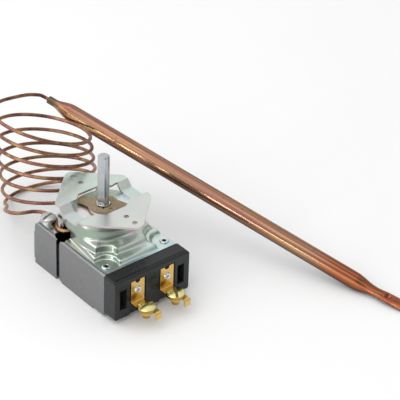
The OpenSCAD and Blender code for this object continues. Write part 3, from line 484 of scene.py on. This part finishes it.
def mottled(name, roughness, scale, stops, relief=0.0, **constants):
    """A matte solid with a fine mottle through the stops' colours, and a felted relief."""
    mat, tree, shader = new_material(name, 0.0, roughness, **constants)
    fine = use_group(tree, "marks", Scale=scale).outputs["Fine"]
    plug(tree, shader, Base_Color=ramp(tree, fine, stops))
    if relief:
        plug(tree, shader, Normal=bump(tree, fine, relief, distance=0.0001))
    return mat


def copper(name, base, axis, streaks, roughness, gold=0.5, ends=None):
    """Aged copper tube: streaks along an axis, with grey solder at the first of its ends and a
    reddish tint at the last, and a dark painted shade on its underside. streaks are the noise's
    scales along and across the axis."""
    mat, tree, shader = new_material(name, 1.0, roughness)
    along = Vector(axis).normalized()
    side = along.cross(Vector((0, 0, 1))).normalized()
    up = side.cross(along)
    place = coordinates(tree)
    ways = (along * streaks[0], side * streaks[1], up * streaks[1])
    combine = add(tree, "ShaderNodeCombineXYZ")
    stretched = feed_all(tree, combine, [dot(tree, place, way) for way in ways])
    lines = noise(tree, stretched, scale=1.0, detail=5.0, roughness=0.6, distortion=0.3)
    colour = ramp(tree, lines, [
        (0.28, toned(base, 0.42, 0.38, 0.45)),
        (0.42, toned(base, 0.85, 0.80, 0.95)),
        (0.52, toned(base, 1.05, 1.0, 1.0)),
        (0.64, toned(base, 1.45, 1.5 + gold, 1.2 + gold * 0.3)),
        (0.78, toned(base, 1.35, 1.35, 1.9)),
    ])
    marks = use_group(tree, "marks", Scale=420.0, Threshold=0.60)
    aged = remap(tree, marks.outputs["Mask"], to=(0.0, 0.55))
    colour = mix_colour(tree, aged, colour, rgba(toned(base, 0.45, 0.40, 0.42)))
    if ends:
        parts = add(tree, "ShaderNodeSeparateXYZ")
        tree.links.new(stretched, parts.inputs[0])
        share = remap(tree, parts.outputs["X"], span=[end * streaks[0] for end in ends])
        heat = ramp(tree, share, [
            (0.0, (0.30, 0.42, 0.50)), (0.02, (0.32, 0.42, 0.48)), (0.045, (0.9, 0.82, 0.8)),
            (0.12, (1, 1, 1)), (0.86, (1, 1, 1)), (0.95, (1.0, 0.62, 0.48))])
        colour = mix_colour(tree, 1.0, colour, heat, "MULTIPLY")
    # Painted shade on the underside: no normal reaches these levels, so the slope counts in full
    # and the underside alone decides
    every_slope = (3.0, 2.0)
    underside = (0, 0, -1.7)
    plug(tree, shader,
         Base_Color=paint_slope_shade(tree, colour, toned(base, 0.13), *every_slope, underside),
         Roughness=remap(tree, lines, to=(roughness * 0.7, roughness * 1.6)),
         Normal=bump(tree, lines, strength=0.2, distance=0.0001))
    return mat


# Mesh helpers


def placed(name, data):
    """A new object of the scene's collection."""
    obj = bpy.data.objects.new(name, data)
    bpy.context.collection.objects.link(obj)
    return obj


def mesh_object(name, verts, faces, mat):
    """A new mesh object of one material."""
    mesh = bpy.data.meshes.new(name)
    mesh.from_pydata([tuple(v) for v in verts], [], faces)
    mesh.materials.append(mat)
    return placed(name, mesh)


def dress(obj, node):
    """Makes a piece stand for a solid: it rides on the same body, and the solid is hidden."""
    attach(obj, BODY_OF[node])
    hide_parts(node)
    return obj


def finish_nodes(mat, *nodes):
    """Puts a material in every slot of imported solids."""
    for node in nodes:
        for slot in frame["nodes"][node].material_slots:
            slot.material = mat


def baked(obj):
    """Applies an object's modifiers to its mesh."""
    depsgraph = bpy.context.evaluated_depsgraph_get()
    mesh = bpy.data.meshes.new_from_object(obj.evaluated_get(depsgraph))
    obj.modifiers.clear()
    obj.data = mesh
    return obj


def smooth(mesh):
    """Shades every face smoothly."""
    for face in mesh.polygons:
        face.use_smooth = True


def shade_by_angle(mesh):
    """Smooth shading that stays sharp where faces meet at more than 40 degrees."""
    smooth(mesh)
    mesh.set_sharp_from_angle(angle=math.radians(40))


def cutter(form):
    """A closed object made from a bmesh, for cutting or filling."""
    mesh = bpy.data.meshes.new("cutter")
    form.to_mesh(mesh)
    form.free()
    return placed("cutter", mesh)


def cylinder(radius, low, high, place):
    """A closed cylinder along z, in millimetres, for cutting."""
    form = bmesh.new()
    bmesh.ops.create_cone(form, cap_ends=True, segments=48, radius1=radius * MM,
                          radius2=radius * MM, depth=(high - low) * MM)
    middle = Vector((*place, (low + high) / 2)) * MM
    bmesh.ops.translate(form, verts=form.verts, vec=middle)
    return cutter(form)


def block(low, high):
    """A closed box between two corners, in millimetres, for filling."""
    form = bmesh.new()
    bmesh.ops.create_cube(form, size=1.0)
    for vert in form.verts:
        vert.co = Vector([(low[i] if vert.co[i] < 0 else high[i]) * MM for i in range(3)])
    return cutter(form)


def cut(obj, cutters, operation="DIFFERENCE"):
    """Takes the closed cutters away from an object, or adds them, and removes them."""
    for tool in cutters:
        step = obj.modifiers.new("cut", "BOOLEAN")
        step.operation, step.solver, step.object = operation, "EXACT", tool
    baked(obj)
    for tool in cutters:
        bpy.data.objects.remove(tool)


def between(point, low, high, margin=0.0):
    """Whether a point lies in a box that is wider by a margin all round."""
    return all(low[i] - margin < point[i] < high[i] + margin for i in range(3))


def open_box(mesh, low, high):
    """Cuts the part of an open skin away that lies in a box, given in millimetres."""
    form = bmesh.new()
    form.from_mesh(mesh)
    low, high = Vector(low) * MM, Vector(high) * MM
    for axis in range(3):
        for level in (low[axis], high[axis]):
            near = [f for f in form.faces if between(f.calc_center_median(), low, high, 3 * MM)]
            parts = {part for face in near for part in (face, *face.edges, *face.verts)}
            place, way = Vector(), Vector()
            place[axis], way[axis] = level, 1
            bmesh.ops.bisect_plane(form, geom=list(parts), plane_co=place, plane_no=way)
    inside = [f for f in form.faces if between(f.calc_center_median(), low, high)]
    bmesh.ops.delete(form, geom=inside, context="FACES")
    form.to_mesh(mesh)
    form.free()


def edged(node, mat, width, angle=32.0, clamp=False, blocks=()):
    """A copy of a solid with its edges rounded as stamping, turning or moulding leaves them, and
    blocks filled in. The width and the blocks' corners are in millimetres."""
    mesh = frame["nodes"][node].data.copy()
    for layer in ("custom_normal", "sharp_edge", "sharp_face"):
        if layer in mesh.attributes:
            mesh.attributes.remove(mesh.attributes[layer])
    form = bmesh.new()
    form.from_mesh(mesh)
    bmesh.ops.remove_doubles(form, verts=form.verts, dist=2e-6)
    bmesh.ops.dissolve_limit(form, angle_limit=math.radians(0.5), verts=form.verts,
                             edges=form.edges)
    form.to_mesh(mesh)
    form.free()
    mesh.materials.clear()
    mesh.materials.append(mat)
    obj = placed(node + "_finished", mesh)
    if blocks:
        cut(obj, [block(low, high) for low, high in blocks], "UNION")
    bevel = obj.modifiers.new("edges", "BEVEL")
    bevel.width, bevel.segments = width * MM, 2
    bevel.limit_method, bevel.angle_limit = "ANGLE", math.radians(angle)
    bevel.use_clamp_overlap = clamp
    smooth(obj.data)
    even = obj.modifiers.new("flats", "WEIGHTED_NORMAL")
    even.keep_sharp, even.weight = True, 80
    return dress(baked(obj), node)


def sweep(name, path, radius, mat):
    """A closed round tube along a path in millimetres, on frames that don't twist. The radius is
    in metres."""
    sides = 16
    points = [Vector(p) * MM for p in path]
    last = len(points) - 1
    ways = [(points[min(i + 1, last)] - points[max(i - 1, 0)]).normalized()
            for i in range(len(points))]
    side = ways[0].orthogonal().normalized()
    verts, faces = [], []
    for point, way in zip(points, ways):
        side = (side - way * side.dot(way)).normalized()
        up = way.cross(side)
        for k in range(sides):
            turn = 2 * math.pi * k / sides
            verts.append(point + (side * math.cos(turn) + up * math.sin(turn)) * radius)
    for i in range(last):
        for k in range(sides):
            a, b = i * sides + k, i * sides + (k + 1) % sides
            faces.append((a, b, b + sides, a + sides))
    faces.append(tuple(reversed(range(sides))))
    faces.append(tuple(range(last * sides, len(points) * sides)))
    obj = mesh_object(name, verts, faces, mat)
    shade_by_angle(obj.data)
    return obj


# Curves


def soft_min(values, k):
    """The least of the values, with the change from one to the next rounded over about k."""
    least = min(values)
    return least - k * math.log(sum(math.exp((least - v) / k) for v in values))


def rounded_profile(points, steps):
    """A quadratic B-spline through a profile's middles, which keeps its first and last points."""
    middles = [tuple((a + b) / 2 for a, b in zip(p, q)) for p, q in zip(points[1:-2], points[2:-1])]
    middles = [points[0]] + middles + [points[-1]]
    out = []
    for start, turn, end in zip(middles, points[1:-1], middles[1:]):
        for i in range(steps):
            t = i / steps
            out.append(tuple((1 - t) ** 2 * p + 2 * t * (1 - t) * q + t * t * r
                             for p, q, r in zip(start, turn, end)))
    return out + [points[-1]]


def smooth_path(points, steps):
    """A Catmull-Rom curve through the points between the first and the last."""
    out = []
    for i in range(1, len(points) - 2):
        a, b, c, d = (Vector(p) for p in points[i - 1:i + 3])
        for k in range(steps):
            t = k / steps
            out.append(0.5 * (2 * b + (c - a) * t + (2 * a - 5 * b + 4 * c - d) * t * t
                              + (3 * b - a - 3 * c + d) * t ** 3))
    return out + [Vector(points[-2])]


# Forms of the cover


def plate_reach(d):
    """Distance from the middle to the cover plate's outline in the direction d."""
    side = PLATE_X / max(abs(d[0]), 1e-6)
    end = (PLATE_REAR if d[1] > 0 else -PLATE_FRONT) / max(abs(d[1]), 1e-6)
    return min(side, end)


def platform_reach(d):
    """Distance from the middle to the platform's outline, which runs round the four fasteners."""
    slope = abs(d[0]) * math.cos(PLATFORM_SLANT) + d[1] * math.sin(PLATFORM_SLANT)
    side = PLATFORM_X / max(slope, 1e-3)
    end = (PLATFORM_REAR if d[1] > 0 else -PLATFORM_FRONT) / max(abs(d[1]), 1e-3)
    reach = [side, end, plate_reach(d) - 0.6]
    for x, y, radius in FASTENERS:
        along = d[0] * x + d[1] * y
        across = x * x + y * y - along * along
        if along > 0 and across < radius * radius:
            reach.append(along - math.sqrt(radius * radius - across))
        elif along > 0:
            # Past the recess the limit rises fast, so that it rounds the corner and then lets go
            reach.append(along + (math.sqrt(across) - radius) * 4)
    return soft_min(reach, 1.4)


def oval(d, x, y):
    """Distance from the middle to an oval of half width x and half depth y."""
    return 1 / math.sqrt((d[0] / x) ** 2 + (d[1] / y) ** 2)


def cover_section(d):
    """Radius and height of the drawn cover's profile in the direction d, from edge to top."""
    low, edge, out = FLANGE_TOP, platform_reach(d), plate_reach(d)
    foot = soft_min([oval(d, *DOME_FOOT), edge - 0.4], 0.3)
    channel = edge - foot
    fillet = min(1.2, (out - edge) * 0.5)
    section = [(out, low), (edge + fillet, low), (edge + fillet * 0.3, low + 0.02),
               (edge - min(0.25, channel * 0.1), low + 0.75),
               (edge - min(0.9, channel * 0.25), low + 1.9)]
    section += [(foot + channel * share, low + height) for share, height in CHANNEL_WALL]
    section.append((foot - 0.2, low + 7.4))
    section += [(min(oval(d, x, y), edge - gap), DOME_TOP - drop) for x, y, gap, drop in DOME_OVALS]
    return section + [(12.5, DOME_TOP), (9.0, DOME_TOP), (BUSH_HOLE, DOME_TOP)]


# Forms of the capillary


def coil_height(t):
    """Height of the formed turns' axis after t turns, without the place of the whole coil."""
    turn = math.radians(180 + 360 * t)
    lean = math.cos(turn) * (-0.27 + 0.07 * t) + math.sin(turn) * (-0.26 - 0.012 * t)
    return COIL_RISE * (TURNS - t) + COIL_RADIUS * lean


def capillary_route():
    """The capillary's axis from the bulb over the formed turns into the power element."""
    floor = FLOOR_Z / MM
    # The last two turns come nearest to the floor
    lowest = min(coil_height(5.96 - i / TURN_STEPS) for i in range(2 * TURN_STEPS + 1))
    coil = []
    for i in range(TURNS * TURN_STEPS):
        t = i / TURN_STEPS
        turn = COIL_START + 2 * math.pi * t
        coil.append((COIL_X + COIL_SHIFT * t + COIL_RADIUS * math.cos(turn),
                     COIL_Y + COIL_RADIUS * math.sin(turn),
                     floor + TUBE_CLEAR - lowest + coil_height(t)))
    dip = math.asin((BULB_NECK.z - floor - BULB_RADIUS) / BULB_LENGTH)
    way = Vector((math.cos(BULB_TURN) * math.cos(dip), math.sin(BULB_TURN) * math.cos(dip),
                  -math.sin(dip)))
    upper = [BULB_NECK + 3 * way, BULB_NECK, BULB_NECK - 1.8 * way, (26.9, 91.7, 9),
             (24.2, 91.9, 10.7), (15.8, 91.1, 14.2), (3.8, 88.3, 18), (-7.1, 84.3, 21.5)]
    lower = [(-12, 73, -39.8), (-18.9, 64.5, -34), (-24.4, 56.5, -28), (-29.2, 48.2, -22),
             (-30.6, 41.2, -18.8), (-27.4, 37.5, -18.35), (-20.8, 34.5, -18.35),
             (-16.95, 30.4, -18.35), (-15.35, 25.2, -18.35), (-15.35, 21.6, -18.35),
             (-17.65, 18.2, -18.25), (-19.45, 14.4, -18.15), (-19.35, 10.8, -18.15)]
    for step in (1.6, -0.8, -3.1):
        reach = SOCKET_REACH + step
        lower.append((reach * math.cos(SOCKET_TURN), reach * math.sin(SOCKET_TURN), SOCKET_Z))
    before = 2 * Vector(upper[0]) - Vector(upper[1])
    after = Vector(lower[-1]) + Vector((3, 0, 0))
    route = smooth_path([before] + upper + [coil[0], coil[2]], 6)[:-1]
    route += smooth_path([upper[-1]] + coil + [lower[0]], 3)[:-1]
    return route + smooth_path([coil[-4], coil[-1]] + lower + [after], 6)


class Step:
    """What all the operators share."""
    bl_options = {"REGISTER", "UNDO"}


# Stage


class THERMOSTAT_OT_stage(Step, bpy.types.Operator):
    """Sets up the camera, the pale floor and the soft studio light"""
    bl_idname = "thermostat.stage"
    bl_label = "Stage"

    def execute(self, context):
        cfg = context.scene.thermostat_stage
        context.scene.view_settings.view_transform = "Standard"
        self.camera(context, cfg)
        self.world(context, cfg)
        self.floor()
        self.lights(cfg)
        return {"FINISHED"}

    def camera(self, context, cfg):
        """The camera of the photograph, level but for its roll."""
        back = Vector(cfg.camera_back).normalized()
        right = Vector((math.cos(cfg.camera_azimuth), -math.sin(cfg.camera_azimuth), 0))
        up = back.cross(right)
        c, s = math.cos(cfg.camera_roll), math.sin(cfg.camera_roll)
        columns = (right * c + up * s, up * c - right * s, back, Vector(cfg.camera_place))
        data = bpy.data.cameras.new("camera")
        data.lens = cfg.lens
        data.sensor_width = 36
        data.clip_start, data.clip_end = 0.05, 20
        camera = placed("camera", data)
        camera.matrix_world = Matrix((*zip(*columns), (0, 0, 0, 1)))
        context.scene.camera = camera

    def world(self, context, cfg):
        """Even light on the object, white behind it, and a shaded studio in its reflections."""
        world = bpy.data.worlds.new("studio")
        context.scene.world = world
        world.use_nodes = True
        tree = world.node_tree
        light = tree.nodes["Background"]
        light.inputs["Color"].default_value = (1, 1, 1, 1)
        light.inputs["Strength"].default_value = cfg.sky
        seen = add(tree, "ShaderNodeBackground", in_Color=(1, 1, 1, 1), in_Strength=1.0)
        mirrored = add(tree, "ShaderNodeBackground", in_Strength=1.0)
        place = coordinates(tree, "Generated")
        bright = dot(tree, place, Vector(cfg.bright_side).normalized())
        colour = ramp(tree, compute(tree, "MULTIPLY_ADD", bright, 0.5, 0.5), [
            (0.0, (0.09, 0.095, 0.095)), (0.25, (0.13, 0.135, 0.135)), (0.50, (0.30, 0.31, 0.31)),
            (0.70, (0.62, 0.63, 0.63)), (0.86, (0.95, 0.95, 0.95)), (1.0, (1.0, 1.0, 1.0))])
        for way, rim, core, level in (
                (cfg.side_light, 0.84, 0.98, 0.9), (cfg.front_light, 0.78, 0.98, 0.72)):
            near = dot(tree, place, Vector(way).normalized())
            patch = ramp(tree, near, [(rim, (0, 0, 0)), (core, (level, level, level))])
            colour = mix_colour(tree, 1.0, colour, patch, "LIGHTEN")
        tree.links.new(colour, mirrored.inputs["Color"])
        rays = add(tree, "ShaderNodeLightPath").outputs
        glossy = compute(tree, "MAXIMUM", rays["Is Glossy Ray"], rays["Is Transmission Ray"])
        shader = light.outputs[0]
        for ray, other in ((glossy, mirrored), (rays["Is Camera Ray"], seen)):
            mix = add(tree, "ShaderNodeMixShader")
            shader = feed_all(tree, mix, (ray, shader, other.outputs[0]))
        tree.links.new(shader, tree.nodes["World Output"].inputs["Surface"])

    def floor(self):
        """A pale floor under the object."""
        mat, tree, shader = new_material("pale floor", 0.0, 0.9, Specular_IOR_Level=0.1)
        shader.inputs["Base Color"].default_value = (0.97, 0.97, 0.97, 1)
        reach = 3
        corners = [(-reach, -reach), (reach, -reach), (reach, reach), (-reach, reach)]
        floor = mesh_object("floor", [(x, y, FLOOR_Z) for x, y in corners], [(0, 1, 2, 3)], mat)

    def lights(self, cfg):
        """The lamps: name, place, width and share of the key light's power."""
        for name, place, size, share in (
                ("key", (-0.50, 0.30, 0.95), 1.6, 1.0),
                ("fill", (-0.9, -0.7, 0.35), 0.6, 0.14),
                ("side", (-1.10, -0.16, 0.19), 0.14, 0.28)):
            data = bpy.data.lights.new(name, "AREA")
            data.shape, data.size, data.energy = "DISK", size, cfg.key * share
            lamp = placed(name, data)
            lamp.location = place
            lamp.rotation_euler = (-Vector(place)).to_track_quat("-Z", "Y").to_euler()


# Pieces


class THERMOSTAT_OT_shells(Step, bpy.types.Operator):
    """Plates the sheet metal shells and the base plate"""
    bl_idname = "thermostat.shells"
    bl_label = "Shells"

    def execute(self, context):
        cfg = context.scene.thermostat_plating
        # The shells' darker zinc is partly painted shade
        sheet = zinc("zinc plated sheet", cfg.shell_zinc_and_shade_colour, tint=0.4, scale=42.0,
                     roughness=cfg.roughness, lines=(60, 200, 200), wave=0.08, wear=0.0)
        for node in ("front_shell", "rear_shell"):
            edged(node, sheet, width=0.2)
        # The base plate and the lever get a darker zinc: painted shade, as the base plate faces
        # away from the light
        dark = zinc("dark plated sheet", (0.30, 0.32, 0.32), tint=0.2, scale=60.0,
                    roughness=0.3, lines=(60, 700, 900))
        finish_nodes(dark, "base_plate", "lever")
        return {"FINISHED"}


class THERMOSTAT_OT_cover(Step, bpy.types.Operator):
    """Plates the drawn cover and its fasteners"""
    bl_idname = "thermostat.cover"
    bl_label = "Cover"

    def execute(self, context):
        cfg = context.scene.thermostat_plating
        # The drawn walls that face front and left get a darker green painted shade
        self.skin(zinc("zinc plated cover", cfg.cover_colour, tint=0.9, scale=70.0,
                       roughness=0.28, lines=(300, 300, 300), wave=0.12,
                       steep=(0.34, 0.41, 0.335), side=(-0.85, -0.62, 0)))
        ring = turned_metal("bright eyelets", (0.76, 0.80, 0.80), roughness=0.28,
                            lines=(900, 900, 200))
        for node in ("cover_eyelets", "clamp_spacer"):
            edged(node, ring, width=0.12)
        # Upright faces of the clamp screw get a grey painted shade
        head = turned_metal("zinc screw", (0.74, 0.74, 0.71), roughness=0.32,
                            lines=(500, 500, 200), tone=0.03, steep=(0.5, 0.5, 0.5))
        edged("clamp_screw", head, width=0.25)
        return {"FINISHED"}

    def skin(self, mat):
        """The drawn sheet: flange, star-shaped platform and dome, with its openings cut."""
        turns, verts, faces = 288, [], []
        for i in range(turns):
            a = 2 * math.pi * i / turns
            d = (math.cos(a), math.sin(a))
            rings = rounded_profile(cover_section(d), 3)
            for r, z in rings:
                x, y = d[0] * r, d[1] * r
                away = math.hypot((x - DIMPLE_X) / DIMPLE_REACH_X, (y - DIMPLE_Y) / DIMPLE_REACH_Y)
                z -= DIMPLE_DEPTH * math.exp(-away ** 4)
                verts.append((x * MM, y * MM, z * MM))
        count = len(rings)
        for i in range(turns):
            for k in range(count - 1):
                a, b = i * count + k, (i + 1) % turns * count + k
                faces.append((a, b, b + 1, a + 1))
        obj = mesh_object("cover_skin", verts, faces, mat)
        open_box(obj.data, *CAPILLARY_OPENING)
        sheet = obj.modifiers.new("sheet", "SOLIDIFY")
        sheet.thickness, sheet.offset = COVER_SHEET * MM, -1
        baked(obj)
        below, above = -30, 0
        cut(obj, [cylinder(FASTENER_HOLE, below, above, (x, y)) for x, y, recess in FASTENERS])
        shade_by_angle(obj.data)
        dress(obj, "cover")


class THERMOSTAT_OT_bracket(Step, bpy.types.Operator):
    """Plates the folded mounting bracket"""
    bl_idname = "thermostat.bracket"
    bl_label = "Bracket"

    def execute(self, context):
        cfg = context.scene.thermostat_plating
        # Upright faces and cut edges get a darker, pinker painted shade
        sheet = zinc("zinc plated bracket", toned(cfg.cover_colour, 0.9), tint=0.45, scale=50.0,
                     roughness=0.28, lines=(500, 60, 500), wave=0.2, steep=(0.60, 0.52, 0.54))
        edged("bracket", sheet, width=0.12, clamp=True)
        return {"FINISHED"}


class THERMOSTAT_OT_switch_base(Step, bpy.types.Operator):
    """Finishes the black phenolic moulding"""
    bl_idname = "thermostat.switch_base"
    bl_label = "Switch base"

    def execute(self, context):
        fills = [[(x + corner[0], *corner[1:]) for corner in (RELIEF_LOW, RELIEF_HIGH)]
                 for x in TAB_MIDDLES]
        edged("switch_base", phenolic(), width=0.3, clamp=True, blocks=fills)
        return {"FINISHED"}


class THERMOSTAT_OT_terminals(Step, bpy.types.Operator):
    """Finishes the brass terminals, their screws and rivets"""
    bl_idname = "thermostat.terminals"
    bl_label = "Terminals"

    def execute(self, context):
        cfg = context.scene.thermostat_switch
        # Upright faces of the terminals get a darker amber painted shade
        brass = turned_metal("terminal brass", cfg.brass_colour, roughness=0.24,
                             lines=(120, 900, 900), tone=0.15, steep=(0.72, 0.48, 0.18))
        for node in ("terminal_left", "terminal_right"):
            edged(node, brass, width=0.12)
        finish_nodes(brass, "blade_carrier", "fixed_contact")
        # Upright faces of the screw heads get a dark amber painted shade
        heads = turned_metal("screw brass", (0.88, 0.79, 0.38), roughness=0.24,
                             lines=(900, 900, 150), steep=(0.42, 0.27, 0.06))
        edged("terminal_screws", heads, width=0.2)
        tin = turned_metal("tinned rivets", (0.78, 0.80, 0.82), roughness=0.22,
                           lines=(900, 200, 900))
        edged("terminal_rivets", tin, width=0.1)
        bronze = turned_metal("blade bronze", (0.72, 0.47, 0.26), roughness=0.25,
                              lines=(900, 80, 900))
        finish_nodes(bronze, "contact_blade")
        return {"FINISHED"}


class THERMOSTAT_OT_control_shaft(Step, bpy.types.Operator):
    """Finishes the shaft, its bushing, the fibre plate and the retaining ring"""
    bl_idname = "thermostat.control_shaft"
    bl_label = "Control shaft"

    def execute(self, context):
        steel = turned_metal("shaft steel", (0.50, 0.52, 0.53), roughness=0.3,
                             lines=(1200, 1200, 90), tone=0.2)
        edged("shaft", steel, width=0.15)
        bright = turned_metal("bushing steel", (0.70, 0.72, 0.72), roughness=0.22,
                              lines=(900, 900, 200))
        edged("bushing", bright, width=0.12)
        edged("retaining_ring", bright, width=0.1)
        fibre = mottled(
            "tan fibre", roughness=0.75, scale=1300.0, relief=0.4, Specular_IOR_Level=0.3,
            stops=[(0.3, (0.18, 0.135, 0.085)), (0.55, (0.34, 0.26, 0.17)),
                   (0.75, (0.46, 0.37, 0.26))])
        edged("fibre_plate", fibre, width=0.12)
        return {"FINISHED"}


class THERMOSTAT_OT_inner_parts(Step, bpy.types.Operator):
    """Finishes the power element, its spring, the push button and the plunger"""
    bl_idname = "thermostat.inner_parts"
    bl_label = "Inner parts"

    def execute(self, context):
        bronze = turned_metal("element bronze", (0.62, 0.42, 0.25), roughness=0.35,
                              lines=(400, 400, 400))
        finish_nodes(bronze, "power_element")
        steel = turned_metal("spring steel", (0.55, 0.56, 0.58), roughness=0.3,
                             lines=(900, 900, 900))
        finish_nodes(steel, "backlash_spring", "lever_pin")
        ceramic = mottled(
            "white ceramic", roughness=0.5, scale=900.0,
            stops=[(0.3, (0.78, 0.76, 0.70)), (0.7, (0.88, 0.87, 0.83))])
        finish_nodes(ceramic, "push_button", "plunger")
        return {"FINISHED"}


class THERMOSTAT_OT_capillary(Step, bpy.types.Operator):
    """Finishes the formed copper capillary"""
    bl_idname = "thermostat.capillary"
    bl_label = "Capillary"

    def execute(self, context):
        cfg = context.scene.thermostat_copper
        mat = copper("capillary copper", cfg.tube_colour, axis=(1, 0.2, 0.1), streaks=(120, 160),
                     roughness=0.34, gold=0.3)
        tube = sweep("capillary_tube", capillary_route(), cfg.tube_width / 2, mat)
        dress(tube, "capillary")
        return {"FINISHED"}


class THERMOSTAT_OT_bulb(Step, bpy.types.Operator):
    """Finishes the copper bulb"""
    bl_idname = "thermostat.bulb"
    bl_label = "Bulb"

    def execute(self, context):
        cfg = context.scene.thermostat_copper
        mat = copper("bulb copper", cfg.bulb_colour, axis=BULB_AXIS, streaks=(10, 800),
                     roughness=0.2, ends=BULB_ENDS)
        edged("bulb", mat, width=0.1, angle=45.0)
        return {"FINISHED"}


PIECES = (THERMOSTAT_OT_stage, THERMOSTAT_OT_capillary, THERMOSTAT_OT_bulb, THERMOSTAT_OT_shells,
          THERMOSTAT_OT_cover, THERMOSTAT_OT_bracket, THERMOSTAT_OT_switch_base,
          THERMOSTAT_OT_terminals, THERMOSTAT_OT_control_shaft, THERMOSTAT_OT_inner_parts)


class THERMOSTAT_PT_panel(bpy.types.Panel):
    """Lists the settings and the steps that dress the thermostat"""
    bl_idname = "THERMOSTAT_PT_panel"
    bl_label = "Capillary thermostat"
    bl_space_type = "VIEW_3D"
    bl_region_type = "UI"
    bl_category = "Thermostat"

    def draw(self, context):
        layout = self.layout
        for name, group in SETTINGS.items():
            box = layout.box()
            for prop in group.__annotations__:
                box.prop(getattr(context.scene, name), prop)
        for piece in PIECES:
            layout.operator(piece.bl_idname)


CLASSES = (*SETTINGS.values(), *PIECES, THERMOSTAT_PT_panel)


def register():
    """Makes the settings, the operators and the panel known to Blender."""
    for item in CLASSES:
        bpy.utils.register_class(item)
    for name, group in SETTINGS.items():
        setattr(bpy.types.Scene, name, PointerProperty(type=group))


def unregister():
    """Takes them away again."""
    for name in SETTINGS:
        delattr(bpy.types.Scene, name)
    for item in reversed(CLASSES):
        bpy.utils.unregister_class(item)


def main():
    """Runs every step in order."""
    register()
    for piece in PIECES:
        family, step = piece.bl_idname.split(".")
        getattr(getattr(bpy.ops, family), step)()
    bpy.context.view_layer.update()


if __name__ == "__main__":
    main()
